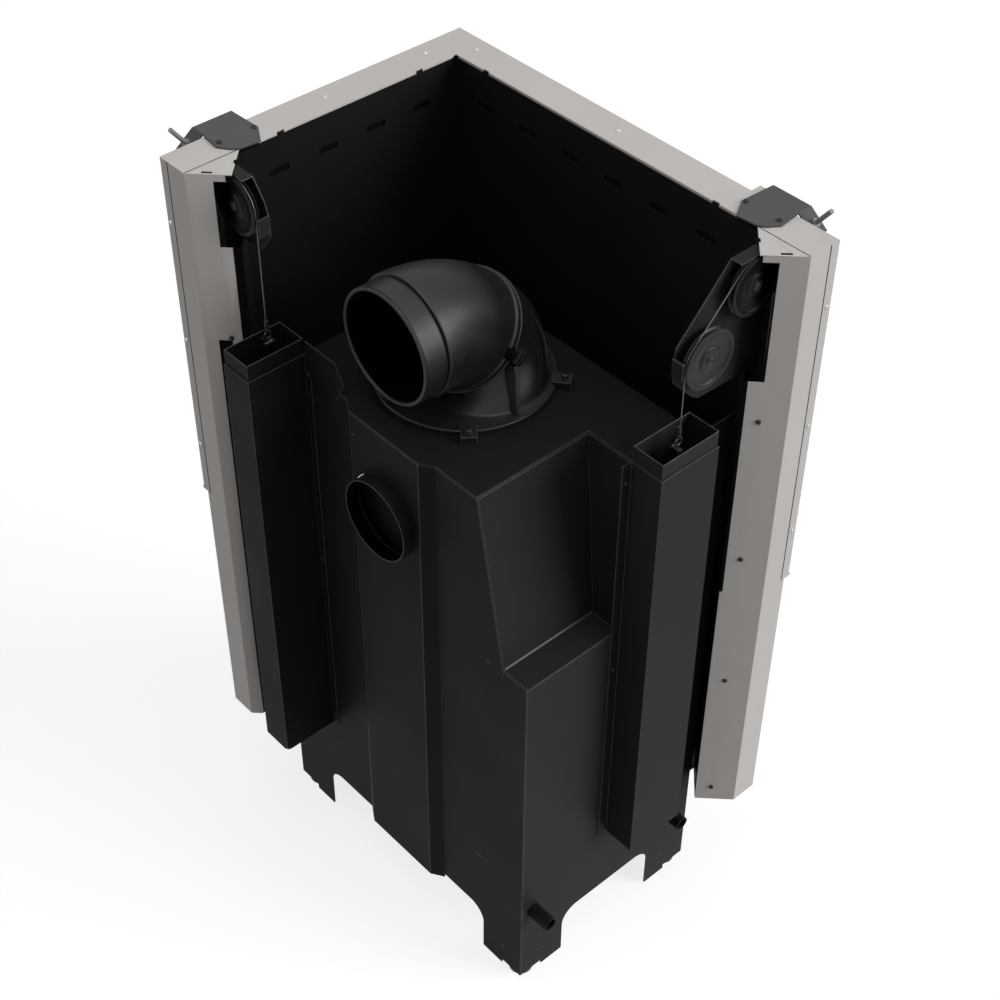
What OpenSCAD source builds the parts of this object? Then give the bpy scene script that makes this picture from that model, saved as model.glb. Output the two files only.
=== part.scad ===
// Corner fireplace insert with a lifting corner door, seen best from behind.
// Wings are drawn in wing coordinates: u runs along the wing from the outer
// glass corner, v runs back from its outer face, and Z stands on the floor.

/* [Casing] */
// Length by which the front wing passes the body
front_past = 91; // [90:1:110]
// Length by which the side wing passes the body
side_past = 90; // [90:1:110]
// Height of the casing top above the floor
casing_top = 1482; // [1470:1:1560]
// Height of the casing's lower edge
casing_low = 239; // [225:1:245]
// Depth of the hollow wings
wing_d = 64; // [60:1:70]
// Depth that an end column stands out behind its wing
column_d = 52; // [50:1:56]
// Thickness of the casing sheet
sheet = 2; // [1.5:0.25:2.5]
// Setback of the columns' faces beside the door
column_setback = 11; // [9:1:13]
// Width of the cover's flange round the wing's end
end_flange_w = 18; // [15:1:22]
// Reach of the cover's lower lip
lip_reach = 4; // [2:1:5]
// Height of the cover's lower lip
lip_h = 4; // [3:0.5:6]
// Drop from the casing top to a column's cut-out
cutout_drop = 13; // [8:1:20]
// Height of the cut-out in the front wing's column
front_cutout_h = 222; // [215:1:240]
// Height of the cut-out in the side wing's column
side_cutout_h = 122; // [115:1:135]
// Drop from the casing top to the side column's lower slot
slot_drop = 318; // [300:1:400]
// Width of that slot across the wing
slot_w = 17; // [12:1:20]
// Length of an obround slot in the inner panels
vent_len = 40; // [30:1:50]
// Width of an obround slot
vent_w = 12; // [8:1:16]
// Drop from the casing top to the slots
vent_drop = 68; // [60:1:80]

/* [Door] */
// Height of the door's lower edge
door_low = 243; // [241:1:246]
// Height of the door
door_h = 554; // [545:1:557]
// Distance from the outer faces to the glass
glass_setback = 20; // [18:1:24]
// Thickness of the glass
glass_t = 4; // [3:0.5:5]
// Depth of the door frame behind the glass
door_frame_d = 20; // [16:1:22]
// Width of the door frame's rails
rail_w = 30; // [24:1:36]
// Length by which the door passes behind a column
door_overlap = 16; // [10:1:20]
// Thickness of the rope seal
seal_t = 4; // [3:0.5:5]
// Gap between the door and its rope seal
seal_gap = 0.3; // [0.2:0.1:0.5]
// Length of the handle strip
handle_len = 250; // [150:10:350]
// Thickness of the handle strip
handle_t = 5; // [4:0.5:6]

/* [Lift] */
// Outer radius of a pulley
pulley_r = 51; // [50.5:0.5:52]
// Thickness of a pulley
pulley_t = 12; // [9:0.5:12]
// Radius at which a cable lies on its pulley
cable_pitch_r = 49; // [48:0.5:49]
// Diameter of a cable
cable_d = 3; // [2.5:0.5:4]
// Radius of a pulley's axle
axle_r = 5; // [4:0.5:6]
// Running clearance of an axle
axle_gap = 0.05; // [0.02:0.01:0.1]
// Distance from a wing's outer face to its upper pulley's centre
hub_v = 113; // [112:1:115]
// Drop from the casing top to the upper pulleys' centres
hub_drop = 57; // [56:1:60]
// Distance from a column's rear edge to the pulley's middle plane
pulley_inset = 6.5; // [6.5:0.5:9]
// Distance from a pulley's middle plane to its bracket
bracket_gap = 18; // [16:0.5:20]
// Step back from the upper to the lower pulley
pulley_step_v = 88; // [86:1:91]
// Step down from the upper to the lower pulley
pulley_step_z = 91; // [88:1:94]
// Thickness of the bracket plates
bracket_t = 2; // [1.5:0.5:3]
// Height of a balance weight
weight_h = 300; // [270:5:305]
// Clearance round a balance weight
weight_gap = 3.5; // [2.5:0.5:6]
// Drop from the casing top to a shackle's pin
pin_drop = 300; // [290:1:310]

/* [Weight channels] */
// Drop from the casing top to the liners' rims
rim_drop = 274; // [270:1:280]
// Drop from a liner's rim to its channel's upper edge
rim_step = 30; // [20:1:40]
// Height of the channels' lower edges
channel_low = 279; // [270:1:300]
// Distance that the side channel stands out from the body
side_channel_out = 65; // [62:1:68]
// Distance from the front face to the side channel
side_channel_v = 192; // [190:1:194]
// Width of the side channel along the body
side_channel_w = 125; // [118:1:130]
// Distance that the rear channel stands out from the body
rear_channel_out = 114; // [108:1:116]
// Distance from the side face to the rear channel
rear_channel_v = 153; // [150:1:154]
// Width of the rear channel along the body
rear_channel_w = 65; // [62:1:68]
// Width of the side channel's screwed flange
side_flange_w = 20; // [14:1:24]
// Width of the rear channel's screwed flange
rear_flange_w = 13; // [11:1:16]
// Thickness of a liner
liner_t = 1.5; // [1:0.25:2]

/* [Body] */
// Distance from the casing's outer faces to the firebox body
body_gap = 90; // [88:1:94]
// Width of the body
body_w = 663; // [655:1:670]
// Depth of the body
body_d = 434; // [430:1:440]
// Height of the body's top
body_top = 1147; // [1140:1:1155]
// Thickness of the body's walls
wall = 3; // [2.5:0.5:4]
// Thickness of the top plate
top_t = 4; // [3:0.5:5]
// Height at which the hood and the recess begin
ledge_z = 812; // [806:1:820]
// Setback of the hood's top from the body's front
hood_front_in = 75; // [60:1:90]
// Setback of the hood's top from the body's glass side
hood_side_in = 91; // [80:1:95]
// Depth of the recess at its ledge
recess_low_in = 56; // [50:1:60]
// Depth of the recess at the top
recess_top_in = 119; // [110:1:125]
// Distance from the rear wall to the recess's end at its ledge
recess_low_len = 201; // [195:1:205]
// Distance from the rear wall to the recess's end at the top
recess_top_len = 234; // [225:1:240]
// Thickness of the fireclay lining
lining_t = 25; // [20:1:30]
// Height of the lining
lining_top = 770; // [740:1:775]
// Thickness of the baffle
baffle_t = 20; // [15:1:25]

/* [Legs] */
// Height of the arches between the legs
arch_z = 114; // [113:1:118]
// Width of a leg at its foot
leg_w = 103; // [95:1:110]
// Radius of an arch's corner
arch_r = 36; // [28:1:40]
// Gap from the floor to the legs' sheet
leg_gap = 4; // [2:1:6]
// Diameter of a foot's pad
foot_d = 45; // [40:1:50]
// Thickness of a foot's pad
foot_t = 8; // [6:1:10]
// Distance from the body's walls to a foot's centre
foot_in = 26; // [25:1:30]
// Diameter of a carrying tube
tube_d = 28; // [24:1:32]
// Wall of a carrying tube
tube_wall = 2.5; // [2:0.5:4]
// Height of the carrying tubes
tube_z = 199; // [190:1:205]
// Length by which they stand out
tube_out = 46; // [40:1:55]

/* [Air] */
// Distance from the rear channel to the rear duct
duct_past = 104; // [103:1:108]
// Width of the rear duct at the wall
duct_w = 219; // [214:1:224]
// Depth of the rear duct
duct_d = 16; // [12:1:20]
// Width of the duct's sloping edge
duct_slope = 25; // [20:1:29]
// Height of the duct's lower end
duct_low = 106; // [100:1:112]
// Outer diameter of the air inlet collar
inlet_d = 148; // [125:1:150]
// Wall of the inlet collar
inlet_wall = 2; // [1.5:0.5:3]
// Length of the inlet collar
inlet_len = 25; // [20:1:40]
// Drop from the body's top to the inlet's centre
inlet_drop = 165; // [150:1:400]
// Travel of the air slider
slider_travel = 40; // [30:1:44]

/* [Flue] */
// Distance from the left wall to the flue's axis
flue_left_in = 353; // [348:1:358]
// Distance from the rear wall to the flue's axis
flue_rear_in = 182; // [178:1:186]
// Outer diameter of the flue spigot
flue_d = 200; // [180:1:200]
// Wall of the flue castings
flue_wall = 7; // [5:0.5:8]
// Length of the spigot past its shoulder
spigot_len = 45; // [40:1:50]
// Outer radius of the elbow
elbow_r = 102.5; // [101:0.5:104]
// Radius of the foot's flange
flange_r = 151.5; // [150:0.5:153]
// Thickness of the foot's flange
flange_t = 9; // [7:1:10]
// Radius of the foot's dome
dome_r = 132; // [128:1:136]
// Height of the inclined joint's centre above the body
joint_h = 93; // [92:1:96]
// Bend radius of the elbow
bend_r = 147; // [140:1:150]
// Straight length between the joint and the bend
neck_len = 4; // [4:1:8]

/* [Hidden] */
$fn = 64;
eps = 0.01;
gap = 0.3;
screw_r = 4;
screw_t = 2.2;
shank_r = 2;
anchor_reach = 33;
anchor_t = 3;
body_l = body_gap + body_w;
body_b = body_gap + body_d;
front_len = body_l + front_past;
side_len = body_b + side_past;
foot_mid_x = (anchor_reach - front_len) / 2;
foot_mid_y = (body_b + rear_channel_out - anchor_reach) / 2;
cover_low = casing_low + door_h;
door_top = door_low + door_h;
door_travel = cover_low - door_low - 2 * handle_t;
frame_v = glass_setback + glass_t + door_frame_d;
seal_v = frame_v + seal_gap;
throat_v = frame_v + seal_t;
throat_t = 12;
hub_z = casing_top - hub_drop;
front_disc_u = front_len - column_d - pulley_inset;
side_disc_u = side_len - column_d - pulley_inset;
cable_v = hub_v - cable_pitch_r;
rim_z = casing_top - rim_drop;
pin_z = casing_top - pin_drop;
pin_up = 55;
sleeve_up = 34;
weight_top = pin_z - pin_up;
weight_low = weight_top - weight_h;
sleeve_top = pin_z + sleeve_up;
flue_v = body_l - flue_left_in;
flue_y = body_b - flue_rear_in;
duct_v = rear_channel_v + rear_channel_w + duct_past;
joint_z = body_top + joint_h;
inlet_z = body_top - inlet_drop;
inlet_x = -(duct_v + duct_w / 2);

// Places and helpers

// The footprint's middle stands on the origin
module placed() translate([-foot_mid_x, -foot_mid_y, 0]) children();

// Wing coordinates of the front wing and of the side wing
module front_wing() mirror([1, 0, 0]) children();
module side_wing() rotate([0, 0, 90]) children();

// A block between two corners
module block(a, b) translate(a) cube(b - a);

// Direction and left-hand normal of a segment
function unit(a) = a / norm(a);
function left_of(d) = [-d[1], d[0]];

// Corner i of path p moved to its left by t, mitred
function moved(p, i, t) =
    let (
        last = len(p) - 1,
        before = unit(i > 0 ? p[i] - p[i - 1] : p[1] - p[0]),
        after = unit(i < last ? p[i + 1] - p[i] : p[last] - p[last - 1]),
        n0 = left_of(before),
        n1 = left_of(after)
    )
    p[i] + (n0 + n1) * (t / (1 + n0 * n1));

// Outline of a folded sheet whose thickness lies left of its path
function fold(p, t) = concat(p, [for (i = [len(p) - 1:-1:0]) moved(p, i, t)]);

module folded(p, t, z0, z1)
    translate([0, 0, z0]) linear_extrude(z1 - z0) polygon(fold(p, t));

// A flat outline standing in the plane x = x0, drawn in y and z
module in_yz(x0, x1) translate([x0, 0, 0]) rotate([90, 0, 90]) linear_extrude(x1 - x0) children();

// A flat outline standing in the plane y = y0, drawn in x and z
module in_xz(y0, y1) translate([0, y1, 0]) rotate([90, 0, 0]) linear_extrude(y1 - y0) children();

module obround(l, w) {
    square([l - w, w], center = true);
    for (side = [-1, 1]) translate([side * (l - w) / 2, 0]) circle(d = w);
}

// A screw along +Z: its head stands on the sheet and its shank ends inside it
module screw(r = screw_r, t = sheet) {
    cylinder(r = r, h = screw_t);
    translate([0, 0, -t]) cylinder(r = shank_r, h = t + eps);
}

module screw_hole(t = sheet) translate([0, 0, -t - 1]) cylinder(r = shank_r + gap / 2, h = t + 2);

// Casing

strip_screws_front = [[76, 29], [front_len / 2 - 7, 31]];
strip_screws_side = [[101, 28], [side_len / 2 + 7, 29]];
strip_notches_front = [139, front_len - 188];
strip_notches_side = [144, side_len - 184];
flange_screw_shares = [0.17, 0.508, 0.839];
flange_screw_v = 8;
end_seam = 1.2;
notch_w = 14;
notch_d = 3;

module on_strip(places) for (p = places) translate([p[0], p[1], casing_top]) children();
module on_end(len) for (share = flange_screw_shares)
    translate([len, flange_screw_v, casing_top - share * (casing_top - cover_low)]) rotate([0, 90, 0]) children();

// Cover of one wing: face, top strip mitred at the corner, end flange and lip
module cover(len, screws, notches) difference() {
    union() {
        translate([0, 0, cover_low]) linear_extrude(casing_top - cover_low)
            polygon([[0, 0], [len, 0], [len, end_flange_w], [len - sheet, end_flange_w],
                [len - sheet, sheet], [sheet, sheet]]);
        translate([0, 0, casing_top - sheet]) linear_extrude(sheet)
            polygon([[0, 0], [len, 0], [len, wing_d], [wing_d, wing_d]]);
        translate([0, 0, cover_low]) linear_extrude(lip_h)
            polygon([[-lip_reach, -lip_reach], [len, -lip_reach], [len, sheet], [sheet, sheet]]);
    }
    on_strip(screws) screw_hole();
    on_end(len) screw_hole();
    for (u = notches) block([u - notch_w / 2, wing_d - notch_d, casing_top - sheet - 1],
        [u + notch_w / 2, wing_d + 1, casing_top + 1]);
}

module front_cover() color("silver") placed() front_wing()
    cover(front_len, strip_screws_front, strip_notches_front);
module side_cover() color("silver") placed() side_wing()
    cover(side_len, strip_screws_side, strip_notches_side);

// Places on a column's slanting face
column_screw_in = 32;
front_column_shares = [0.252, 0.492, 0.733, 0.972];
side_column_shares = [0.252];
cutout_edge_in = 31;
cutout_end_in = 89;

module on_column(len, shares) for (share = shares)
    translate([len - column_screw_in, wing_d + column_screw_in,
        casing_top - share * (casing_top - casing_low)])
        rotate([0, 0, 45]) rotate([0, 90, 0]) children();

// What the cut-out takes away, for the pulleys to stand through
module cutout(len, h) {
    cut_v = wing_d + 2 * column_d - cutout_end_in;
    block([len - cutout_end_in, cut_v, casing_top - cutout_drop - h],
        [len - cutout_edge_in, wing_d + column_d + 1, casing_top - cutout_drop]);
    block([len - cutout_end_in, cut_v, casing_top - cutout_drop - 1],
        [len - column_d - gap, wing_d + column_d + 1, casing_top]);
}

// Sheet of an end column: end wall and slanting face
module column(len, cutout_h, shares) difference() {
    union() {
        folded([[len - 2 * column_d, column_setback], [len, column_setback], [len, wing_d],
            [len - column_d, wing_d + column_d]], sheet, casing_low, cover_low);
        folded([[len, end_flange_w + end_seam], [len, wing_d], [len - column_d, wing_d + column_d]],
            sheet, cover_low, casing_top - sheet);
    }
    cutout(len, cutout_h);
    on_column(len, shares) screw_hole(4 * sheet);
}

module right_column() color("silver") placed() front_wing()
    column(front_len, front_cutout_h, front_column_shares);

// The side wing's column also has a slot down to its lower end
slot_start = 17;
module left_column() color("silver") placed() side_wing() difference() {
    column(side_len, side_cutout_h, side_column_shares);
    block([side_len - slot_start - slot_w, wing_d + slot_start - 6, casing_low - 1],
        [side_len - slot_start, wing_d + column_d, casing_top - slot_drop]);
}

// Cap over a column, with a slot along its outer edge and a notch in its inner one
cap_slot_in = 28;
cap_slot = [16, 3];
cap_notch_in = 79;
cap_notch = [9, 5];
module cap(len) difference() {
    translate([0, 0, casing_top - sheet]) linear_extrude(sheet)
        polygon([[len, wing_d], [len - column_d, wing_d + column_d], [len - 2 * column_d, wing_d]]);
    translate([len - cap_slot_in, wing_d + cap_slot_in - 7, casing_top - sheet - 1]) rotate([0, 0, -45])
        linear_extrude(sheet + 2) obround(cap_slot[0], cap_slot[1]);
    translate([len - cap_notch_in, wing_d + 2 * column_d - cap_notch_in, casing_top - sheet - 1]) rotate([0, 0, 45])
        linear_extrude(sheet + 2) square(cap_notch, center = true);
}
module column_caps() color("silver") placed() {
    front_wing() cap(front_len);
    side_wing() cap(side_len);
}

// Black inner panels with a row of obround slots and a strip that closes the column
front_vents = 6;
side_vents = 4;
first_vent = 140;
front_last_in = 96;
side_last_in = 73;
strip_cut_low = 16;
module inner_panel(len, start, vents, last_in, cutout_h) difference() {
    end = len - 2 * column_d;
    pitch = (end - last_in - first_vent) / (vents - 1);
    strip = (sheet + gap) / sqrt(2);
    corner = [len - column_d - strip, wing_d + column_d - strip];
    union() {
        folded([corner, [end, wing_d]], sheet, casing_low, cover_low + lip_h);
        folded([corner, [end, wing_d], [start, wing_d]], sheet, cover_low + lip_h, casing_top - sheet);
    }
    cutout(len, cutout_h + strip_cut_low);
    for (i = [0:vents - 1]) translate([first_vent + i * pitch, 0, casing_top - vent_drop])
        in_xz(wing_d - sheet - 1, wing_d + 1) obround(vent_len, vent_w);
}
module front_inner_panel() color("dimgray") placed() front_wing()
    inner_panel(front_len, wing_d, front_vents, front_last_in, front_cutout_h);
module side_inner_panel() color("dimgray") placed() side_wing()
    inner_panel(side_len, wing_d - sheet, side_vents, side_last_in, side_cutout_h);

// T-shaped rails on which the door's carriages run
rail_in = 30;
rail_head = 12;
rail_web = 4;
rail_v = 34;
module guide_rail(len) {
    web_u = len - rail_in;
    folded_h = casing_top - sheet - casing_low;
    translate([0, 0, casing_low]) linear_extrude(folded_h)
        polygon([[web_u - rail_head, rail_v - rail_head / 2], [web_u, rail_v - rail_head / 2],
            [web_u, rail_v - rail_web / 2], [len - sheet, rail_v - rail_web / 2],
            [len - sheet, rail_v + rail_web / 2], [web_u, rail_v + rail_web / 2],
            [web_u, rail_v + rail_head / 2], [web_u - rail_head, rail_v + rail_head / 2]]);
}
module guide_rails() color("gray") placed() {
    front_wing() guide_rail(front_len);
    side_wing() guide_rail(side_len);
}

// Anchors on the casing top: a plate, a slanting flap and its bolt
anchor_screws = [[-157, 32], [-90, 32]];
anchor_plan = [[-160, -anchor_reach], [-84, -anchor_reach], [-84, -4], [-79, 39], [-93, 59],
    [-104, 66], [-142, 70], [-163, 35]];
flap_fold = 84;
flap_drop = 27;
flap_run = 36;
flap_w = 29;
flap_l = norm([flap_drop, flap_run]);
bolt_r = 4;
bolt_in = 19;
module on_anchor(len) for (p = anchor_screws)
    translate([len + p[0], p[1], casing_top + anchor_t]) children();
module on_flap(len) translate([len - flap_fold, -anchor_reach, casing_top + anchor_t])
    rotate([0, atan2(flap_drop, flap_run), 0]) children();
module anchor(len) difference() {
    union() {
        translate([0, 0, casing_top]) linear_extrude(anchor_t)
            polygon([for (p = anchor_plan) [len + p[0], p[1]]]);
        on_flap(len) translate([-1, 0, -anchor_t]) cube([flap_l, flap_w, anchor_t]);
    }
    on_anchor(len) screw_hole(anchor_t);
    on_flap(len) translate([flap_l - bolt_in, flap_w / 2, -anchor_t - 1])
        cylinder(r = bolt_r + gap, h = anchor_t + 2);
}
module right_anchor() color("black") placed() front_wing() anchor(front_len);
module left_anchor() color("black") placed() side_wing() anchor(side_len);

bolt_len = 55;
nut_r = 7.5;
nut_h = 6;
module anchor_bolt(len) on_flap(len) translate([flap_l - bolt_in, flap_w / 2, 0]) {
    translate([0, 0, -anchor_t - nut_h]) cylinder(r = bolt_r, h = bolt_len);
    cylinder(r = nut_r, h = nut_h, $fn = 6);
    translate([0, 0, -anchor_t - nut_h]) cylinder(r = nut_r, h = nut_h, $fn = 6);
}
module anchor_bolts() color("silver") placed() {
    front_wing() anchor_bolt(front_len);
    side_wing() anchor_bolt(side_len);
}

module wing_screws(len, strip) {
    on_strip(strip) screw();
    on_end(len) screw(t = sheet);
    on_anchor(len) screw(t = anchor_t);
}
module cover_screws() color("gray") placed() {
    front_wing() wing_screws(front_len, strip_screws_front);
    side_wing() wing_screws(side_len, strip_screws_side);
}

// Screws of the columns and of the channels' flanges
channel_top = rim_z - rim_step;
channel_screw_shares = [0.042, 0.507, 0.969];
function channel_screw_z(share) = channel_top - share * (channel_top - channel_low);
module on_side_channel() for (share = channel_screw_shares)
    translate([-body_l - sheet, side_channel_v + side_channel_w + side_flange_w / 2, channel_screw_z(share)])
        rotate([0, -90, 0]) children();
module on_rear_channel() for (share = channel_screw_shares)
    translate([-(rear_channel_v + rear_channel_w + rear_flange_w / 2), body_b + sheet, channel_screw_z(share)])
        rotate([-90, 0, 0]) children();
module black_screws() color("black") placed() {
    front_wing() on_column(front_len, front_column_shares) screw();
    side_wing() on_column(side_len, side_column_shares) screw();
    on_side_channel() screw();
    on_rear_channel() screw();
}

// Sill that joins the casing to the body under the door
module corner_plan(inner, outer, u_front, u_side)
    polygon([[-inner, inner], [-u_front, inner], [-u_front, outer], [-outer, outer],
        [-outer, u_side], [-inner, u_side]]);
apron_h = 30;
module lower_sill() color("silver") placed() {
    translate([0, 0, casing_low - sheet]) linear_extrude(sheet)
        corner_plan(column_setback, body_gap, front_len - 2 * column_d, side_len - 2 * column_d);
    translate([0, 0, casing_low - apron_h]) linear_extrude(apron_h)
        corner_plan(column_setback, column_setback + sheet, front_len - 2 * column_d,
            side_len - 2 * column_d);
}

// Lift

// Outlines of the brackets, measured from the upper pulley's centre
bracket_up = 53;
bracket_back = 54;
top_flange_w = 22;
front_bracket = [[-bracket_back, bracket_up], [36, bracket_up], [140, -58], [144, -79], [141, -122],
    [97, -170], [81, -182], [-bracket_back, -187]];
side_bracket = [[-bracket_back, bracket_up], [22, bracket_up], [48, 18], [57, -8], [57, -40], [30, -77],
    [-bracket_back, -82]];
clip_h = 32;
clip_w = 4;

// Bracket beside the disc plane: plate, flange along its top and a clip that holds the cable in
module bracket(disc_u, outline, hubs, clip_at) {
    plate_u = disc_u - bracket_gap - bracket_t;
    flange_end = outline[1][0];
    difference() {
        union() {
            in_yz(plate_u, plate_u + bracket_t)
                translate([hub_v, hub_z]) polygon(outline);
            in_yz(plate_u, plate_u + top_flange_w)
                translate([hub_v - bracket_back, hub_z + bracket_up - bracket_t])
                square([flange_end + bracket_back, bracket_t]);
            in_yz(plate_u, plate_u + top_flange_w)
                translate([hub_v + clip_at[0], hub_z + clip_at[1]]) square([clip_w, clip_h]);
        }
        for (h = hubs) translate([0, hub_v + h[0], hub_z + h[1]]) rotate([0, 90, 0])
            translate([0, 0, plate_u - 1]) cylinder(r = axle_r + axle_gap, h = bracket_t + 2);
    }
}
lower_hub = [pulley_step_v, -pulley_step_z];
clip_gap = 1.5;
module right_pulley_bracket() color("dimgray") placed() front_wing()
    bracket(front_disc_u, front_bracket, [[0, 0], lower_hub],
        lower_hub + [pulley_r + clip_gap, -clip_h / 2]);
module left_pulley_bracket() color("dimgray") placed() side_wing()
    bracket(side_disc_u, side_bracket, [[0, 0]], [pulley_r + clip_gap, -clip_h - 2]);

// Pulley about its own axis, with a V groove and a thinned web
groove_r = cable_pitch_r - cable_d / 2 - gap;
hub_r = 22;
rim_r = 44;
web_in = 2;
rim_edge = 0.8;
module pulley() {
    half = pulley_t / 2;
    groove = cable_d / 2 + gap;
    web = half - web_in;
    side = [[axle_r + axle_gap, half], [hub_r, half], [hub_r + web_in, web], [rim_r - web_in, web],
        [rim_r, half], [pulley_r, half], [pulley_r, half - rim_edge], [groove_r, groove]];
    rotate_extrude() polygon(concat([for (p = side) [p[0], -p[1]]], [for (i = [7:-1:0]) side[i]]));
}
module at_hub(disc_u, h) translate([disc_u, hub_v + h[0], hub_z + h[1]]) rotate([0, 90, 0]) children();
module right_upper_pulley() color("gray") placed() front_wing() at_hub(front_disc_u, [0, 0]) pulley();
module right_lower_pulley() color("gray") placed() front_wing() at_hub(front_disc_u, lower_hub) pulley();
module left_pulley() color("gray") placed() side_wing() at_hub(side_disc_u, [0, 0]) pulley();

// Axle: shaft, spacer against the bracket and a head outside the pulley
head_r = 9;
head_h = 4;
module axle() {
    inner = -bracket_gap - bracket_t;
    translate([0, 0, inner - head_h]) cylinder(r = axle_r, h = pulley_t / 2 + head_h - inner);
    translate([0, 0, -bracket_gap]) cylinder(r = head_r, h = bracket_gap - pulley_t / 2 - gap);
    translate([0, 0, pulley_t / 2 + gap]) cylinder(r = head_r, h = head_h);
    translate([0, 0, inner - head_h]) cylinder(r = head_r, h = head_h);
}
module pulley_axles() color("silver") placed() {
    front_wing() at_hub(front_disc_u, [0, 0]) axle();
    front_wing() at_hub(front_disc_u, lower_hub) axle();
    side_wing() at_hub(side_disc_u, [0, 0]) axle();
}

// A cable in the plane u = disc plane: a tube swept along its route in v and z
cable_sides = 8;
arc_step = 9;
function ring_at(disc_u, p, n) = [for (k = [0:cable_sides - 1]) let (a = 360 * k / cable_sides)
    [disc_u + cable_d / 2 * cos(a), p[0] + cable_d / 2 * sin(a) * n[0], p[1] + cable_d / 2 * sin(a) * n[1]]];
module cable(disc_u, route) {
    last = len(route) - 1;
    rings = [for (i = [0:last]) let (
        before = unit(i > 0 ? route[i] - route[i - 1] : route[1] - route[0]),
        after = unit(i < last ? route[i + 1] - route[i] : route[last] - route[last - 1]))
        ring_at(disc_u, route[i], unit(left_of(before) + left_of(after)))];
    points = [for (r = rings) each r];
    n = cable_sides;
    polyhedron(points = points, faces = concat(
        [[for (k = [0:n - 1]) k]],
        [[for (k = [n - 1:-1:0]) last * n + k]],
        [for (i = [0:last - 1], k = [0:n - 1]) let (m = (k + 1) % n)
            [i * n + k, (i + 1) * n + k, (i + 1) * n + m]],
        [for (i = [0:last - 1], k = [0:n - 1]) let (m = (k + 1) % n)
            [i * n + k, (i + 1) * n + m, i * n + m]]));
}

// Points on a pulley's pitch circle from one angle down to another
function over_pulley(h, from, to) = let (steps = ceil((from - to) / arc_step))
    [for (i = [0:steps]) let (a = from - (from - to) * i / steps)
        [hub_v + h[0] + cable_pitch_r * cos(a), hub_z + h[1] + cable_pitch_r * sin(a)]];
tangent_angle = 90 - atan2(pulley_step_z, pulley_step_v);
lug_top = door_top;
module right_cable() color("silver") placed() front_wing() cable(front_disc_u, concat(
    [[cable_v, lug_top]], over_pulley([0, 0], 180, tangent_angle),
    over_pulley(lower_hub, tangent_angle, 0), [[front_weight_v, sleeve_top]]));
module left_cable() color("silver") placed() side_wing() cable(side_disc_u, concat(
    [[cable_v, lug_top]], over_pulley([0, 0], 180, 0), [[side_weight_v, sleeve_top]]));

// Plans of the two weight channels, as their outer corners
side_channel_a = [body_l, side_channel_v];
side_channel_b = [body_l + side_channel_out, side_channel_v + side_channel_w];
rear_channel_a = [body_b, rear_channel_v];
rear_channel_b = [body_b + rear_channel_out, rear_channel_v + rear_channel_w];

// Box of sheet open towards the body, with a flange on either side
module channel(a, b, wide, narrow) folded([[a[0] + sheet, b[1] + wide], [a[0] + sheet, b[1]], b,
    [b[0], a[1]], [a[0] + sheet, a[1]], [a[0] + sheet, a[1] - narrow]],
    -sheet, channel_low, channel_top);
narrow_flange = 10;
module right_channel() color("black") placed() difference() {
    front_wing() channel(side_channel_a, side_channel_b, side_flange_w, narrow_flange);
    on_side_channel() screw_hole();
}

// The rear channel also carries a tab that ties it to the body's top
tab = [[-10, 2], [69, 2], [87, 36], [69, 75], [-10, 75]];
notch = 6;
module left_channel() color("black") placed() difference() {
    union() {
        side_wing() channel(rear_channel_a, rear_channel_b, rear_flange_w, narrow_flange);
        translate([-(rear_channel_v + rear_channel_w + rear_flange_w), 0, 0])
            in_xz(body_b, body_b + sheet) polygon([for (p = tab) [-p[0], rim_z - p[1]]]);
    }
    on_rear_channel() screw_hole();
    block([-(rear_channel_v + rear_channel_w + 1), body_b + rear_channel_out - notch, channel_low - 1],
        [-(rear_channel_v + rear_channel_w - notch), body_b + rear_channel_out + 1, channel_low + notch]);
}

// Inner walls of a liner
liner_gap = 1;
function liner_a(a) = [a[0] + liner_gap, a[1] + sheet];
function liner_b(b) = [b[0] - sheet, b[1] - sheet];
module liner(a, b) difference() {
    translate([a[0], a[1], channel_low]) cube([b[0] - a[0], b[1] - a[1], rim_z - channel_low]);
    translate([a[0] + liner_t, a[1] + liner_t, channel_low + liner_t])
        cube([b[0] - a[0] - 2 * liner_t, b[1] - a[1] - 2 * liner_t, rim_z]);
}
module right_liner() color("black") placed() front_wing()
    liner(liner_a(side_channel_a), liner_b(side_channel_b));
module left_liner() color("black") placed() side_wing()
    liner(liner_a(rear_channel_a), liner_b(rear_channel_b));

// Balance weight: a block with two ears and the pin between them
ear_gap = 12;
ear_t = 5;
pin_r = 2.5;
ear_edge = 3;
front_weight_v = hub_v + pulley_step_v + cable_pitch_r;
side_weight_v = hub_v + cable_pitch_r;
module weight(a, b, at) {
    side = liner_t + weight_gap;
    block([a[0] + side, a[1] + side, weight_low], [b[0] - side, b[1] - side, weight_top]);
    for (s = [-1, 1]) translate([at[0] + s * (ear_gap / 2 + ear_t / 2) - ear_t / 2, at[1] - ear_edge, weight_top])
        cube([ear_t, 4 * ear_edge, pin_z - weight_top + 2 * pin_r]);
    translate([at[0] - ear_gap / 2 - 1, at[1], pin_z]) rotate([0, 90, 0])
        cylinder(r = pin_r, h = ear_gap + 2);
}
module right_weight() color("dimgray") placed() front_wing()
    weight(liner_a(side_channel_a), liner_b(side_channel_b), [front_disc_u, front_weight_v]);
module left_weight() color("dimgray") placed() side_wing()
    weight(liner_a(rear_channel_a), liner_b(rear_channel_b), [side_disc_u, side_weight_v]);

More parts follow.
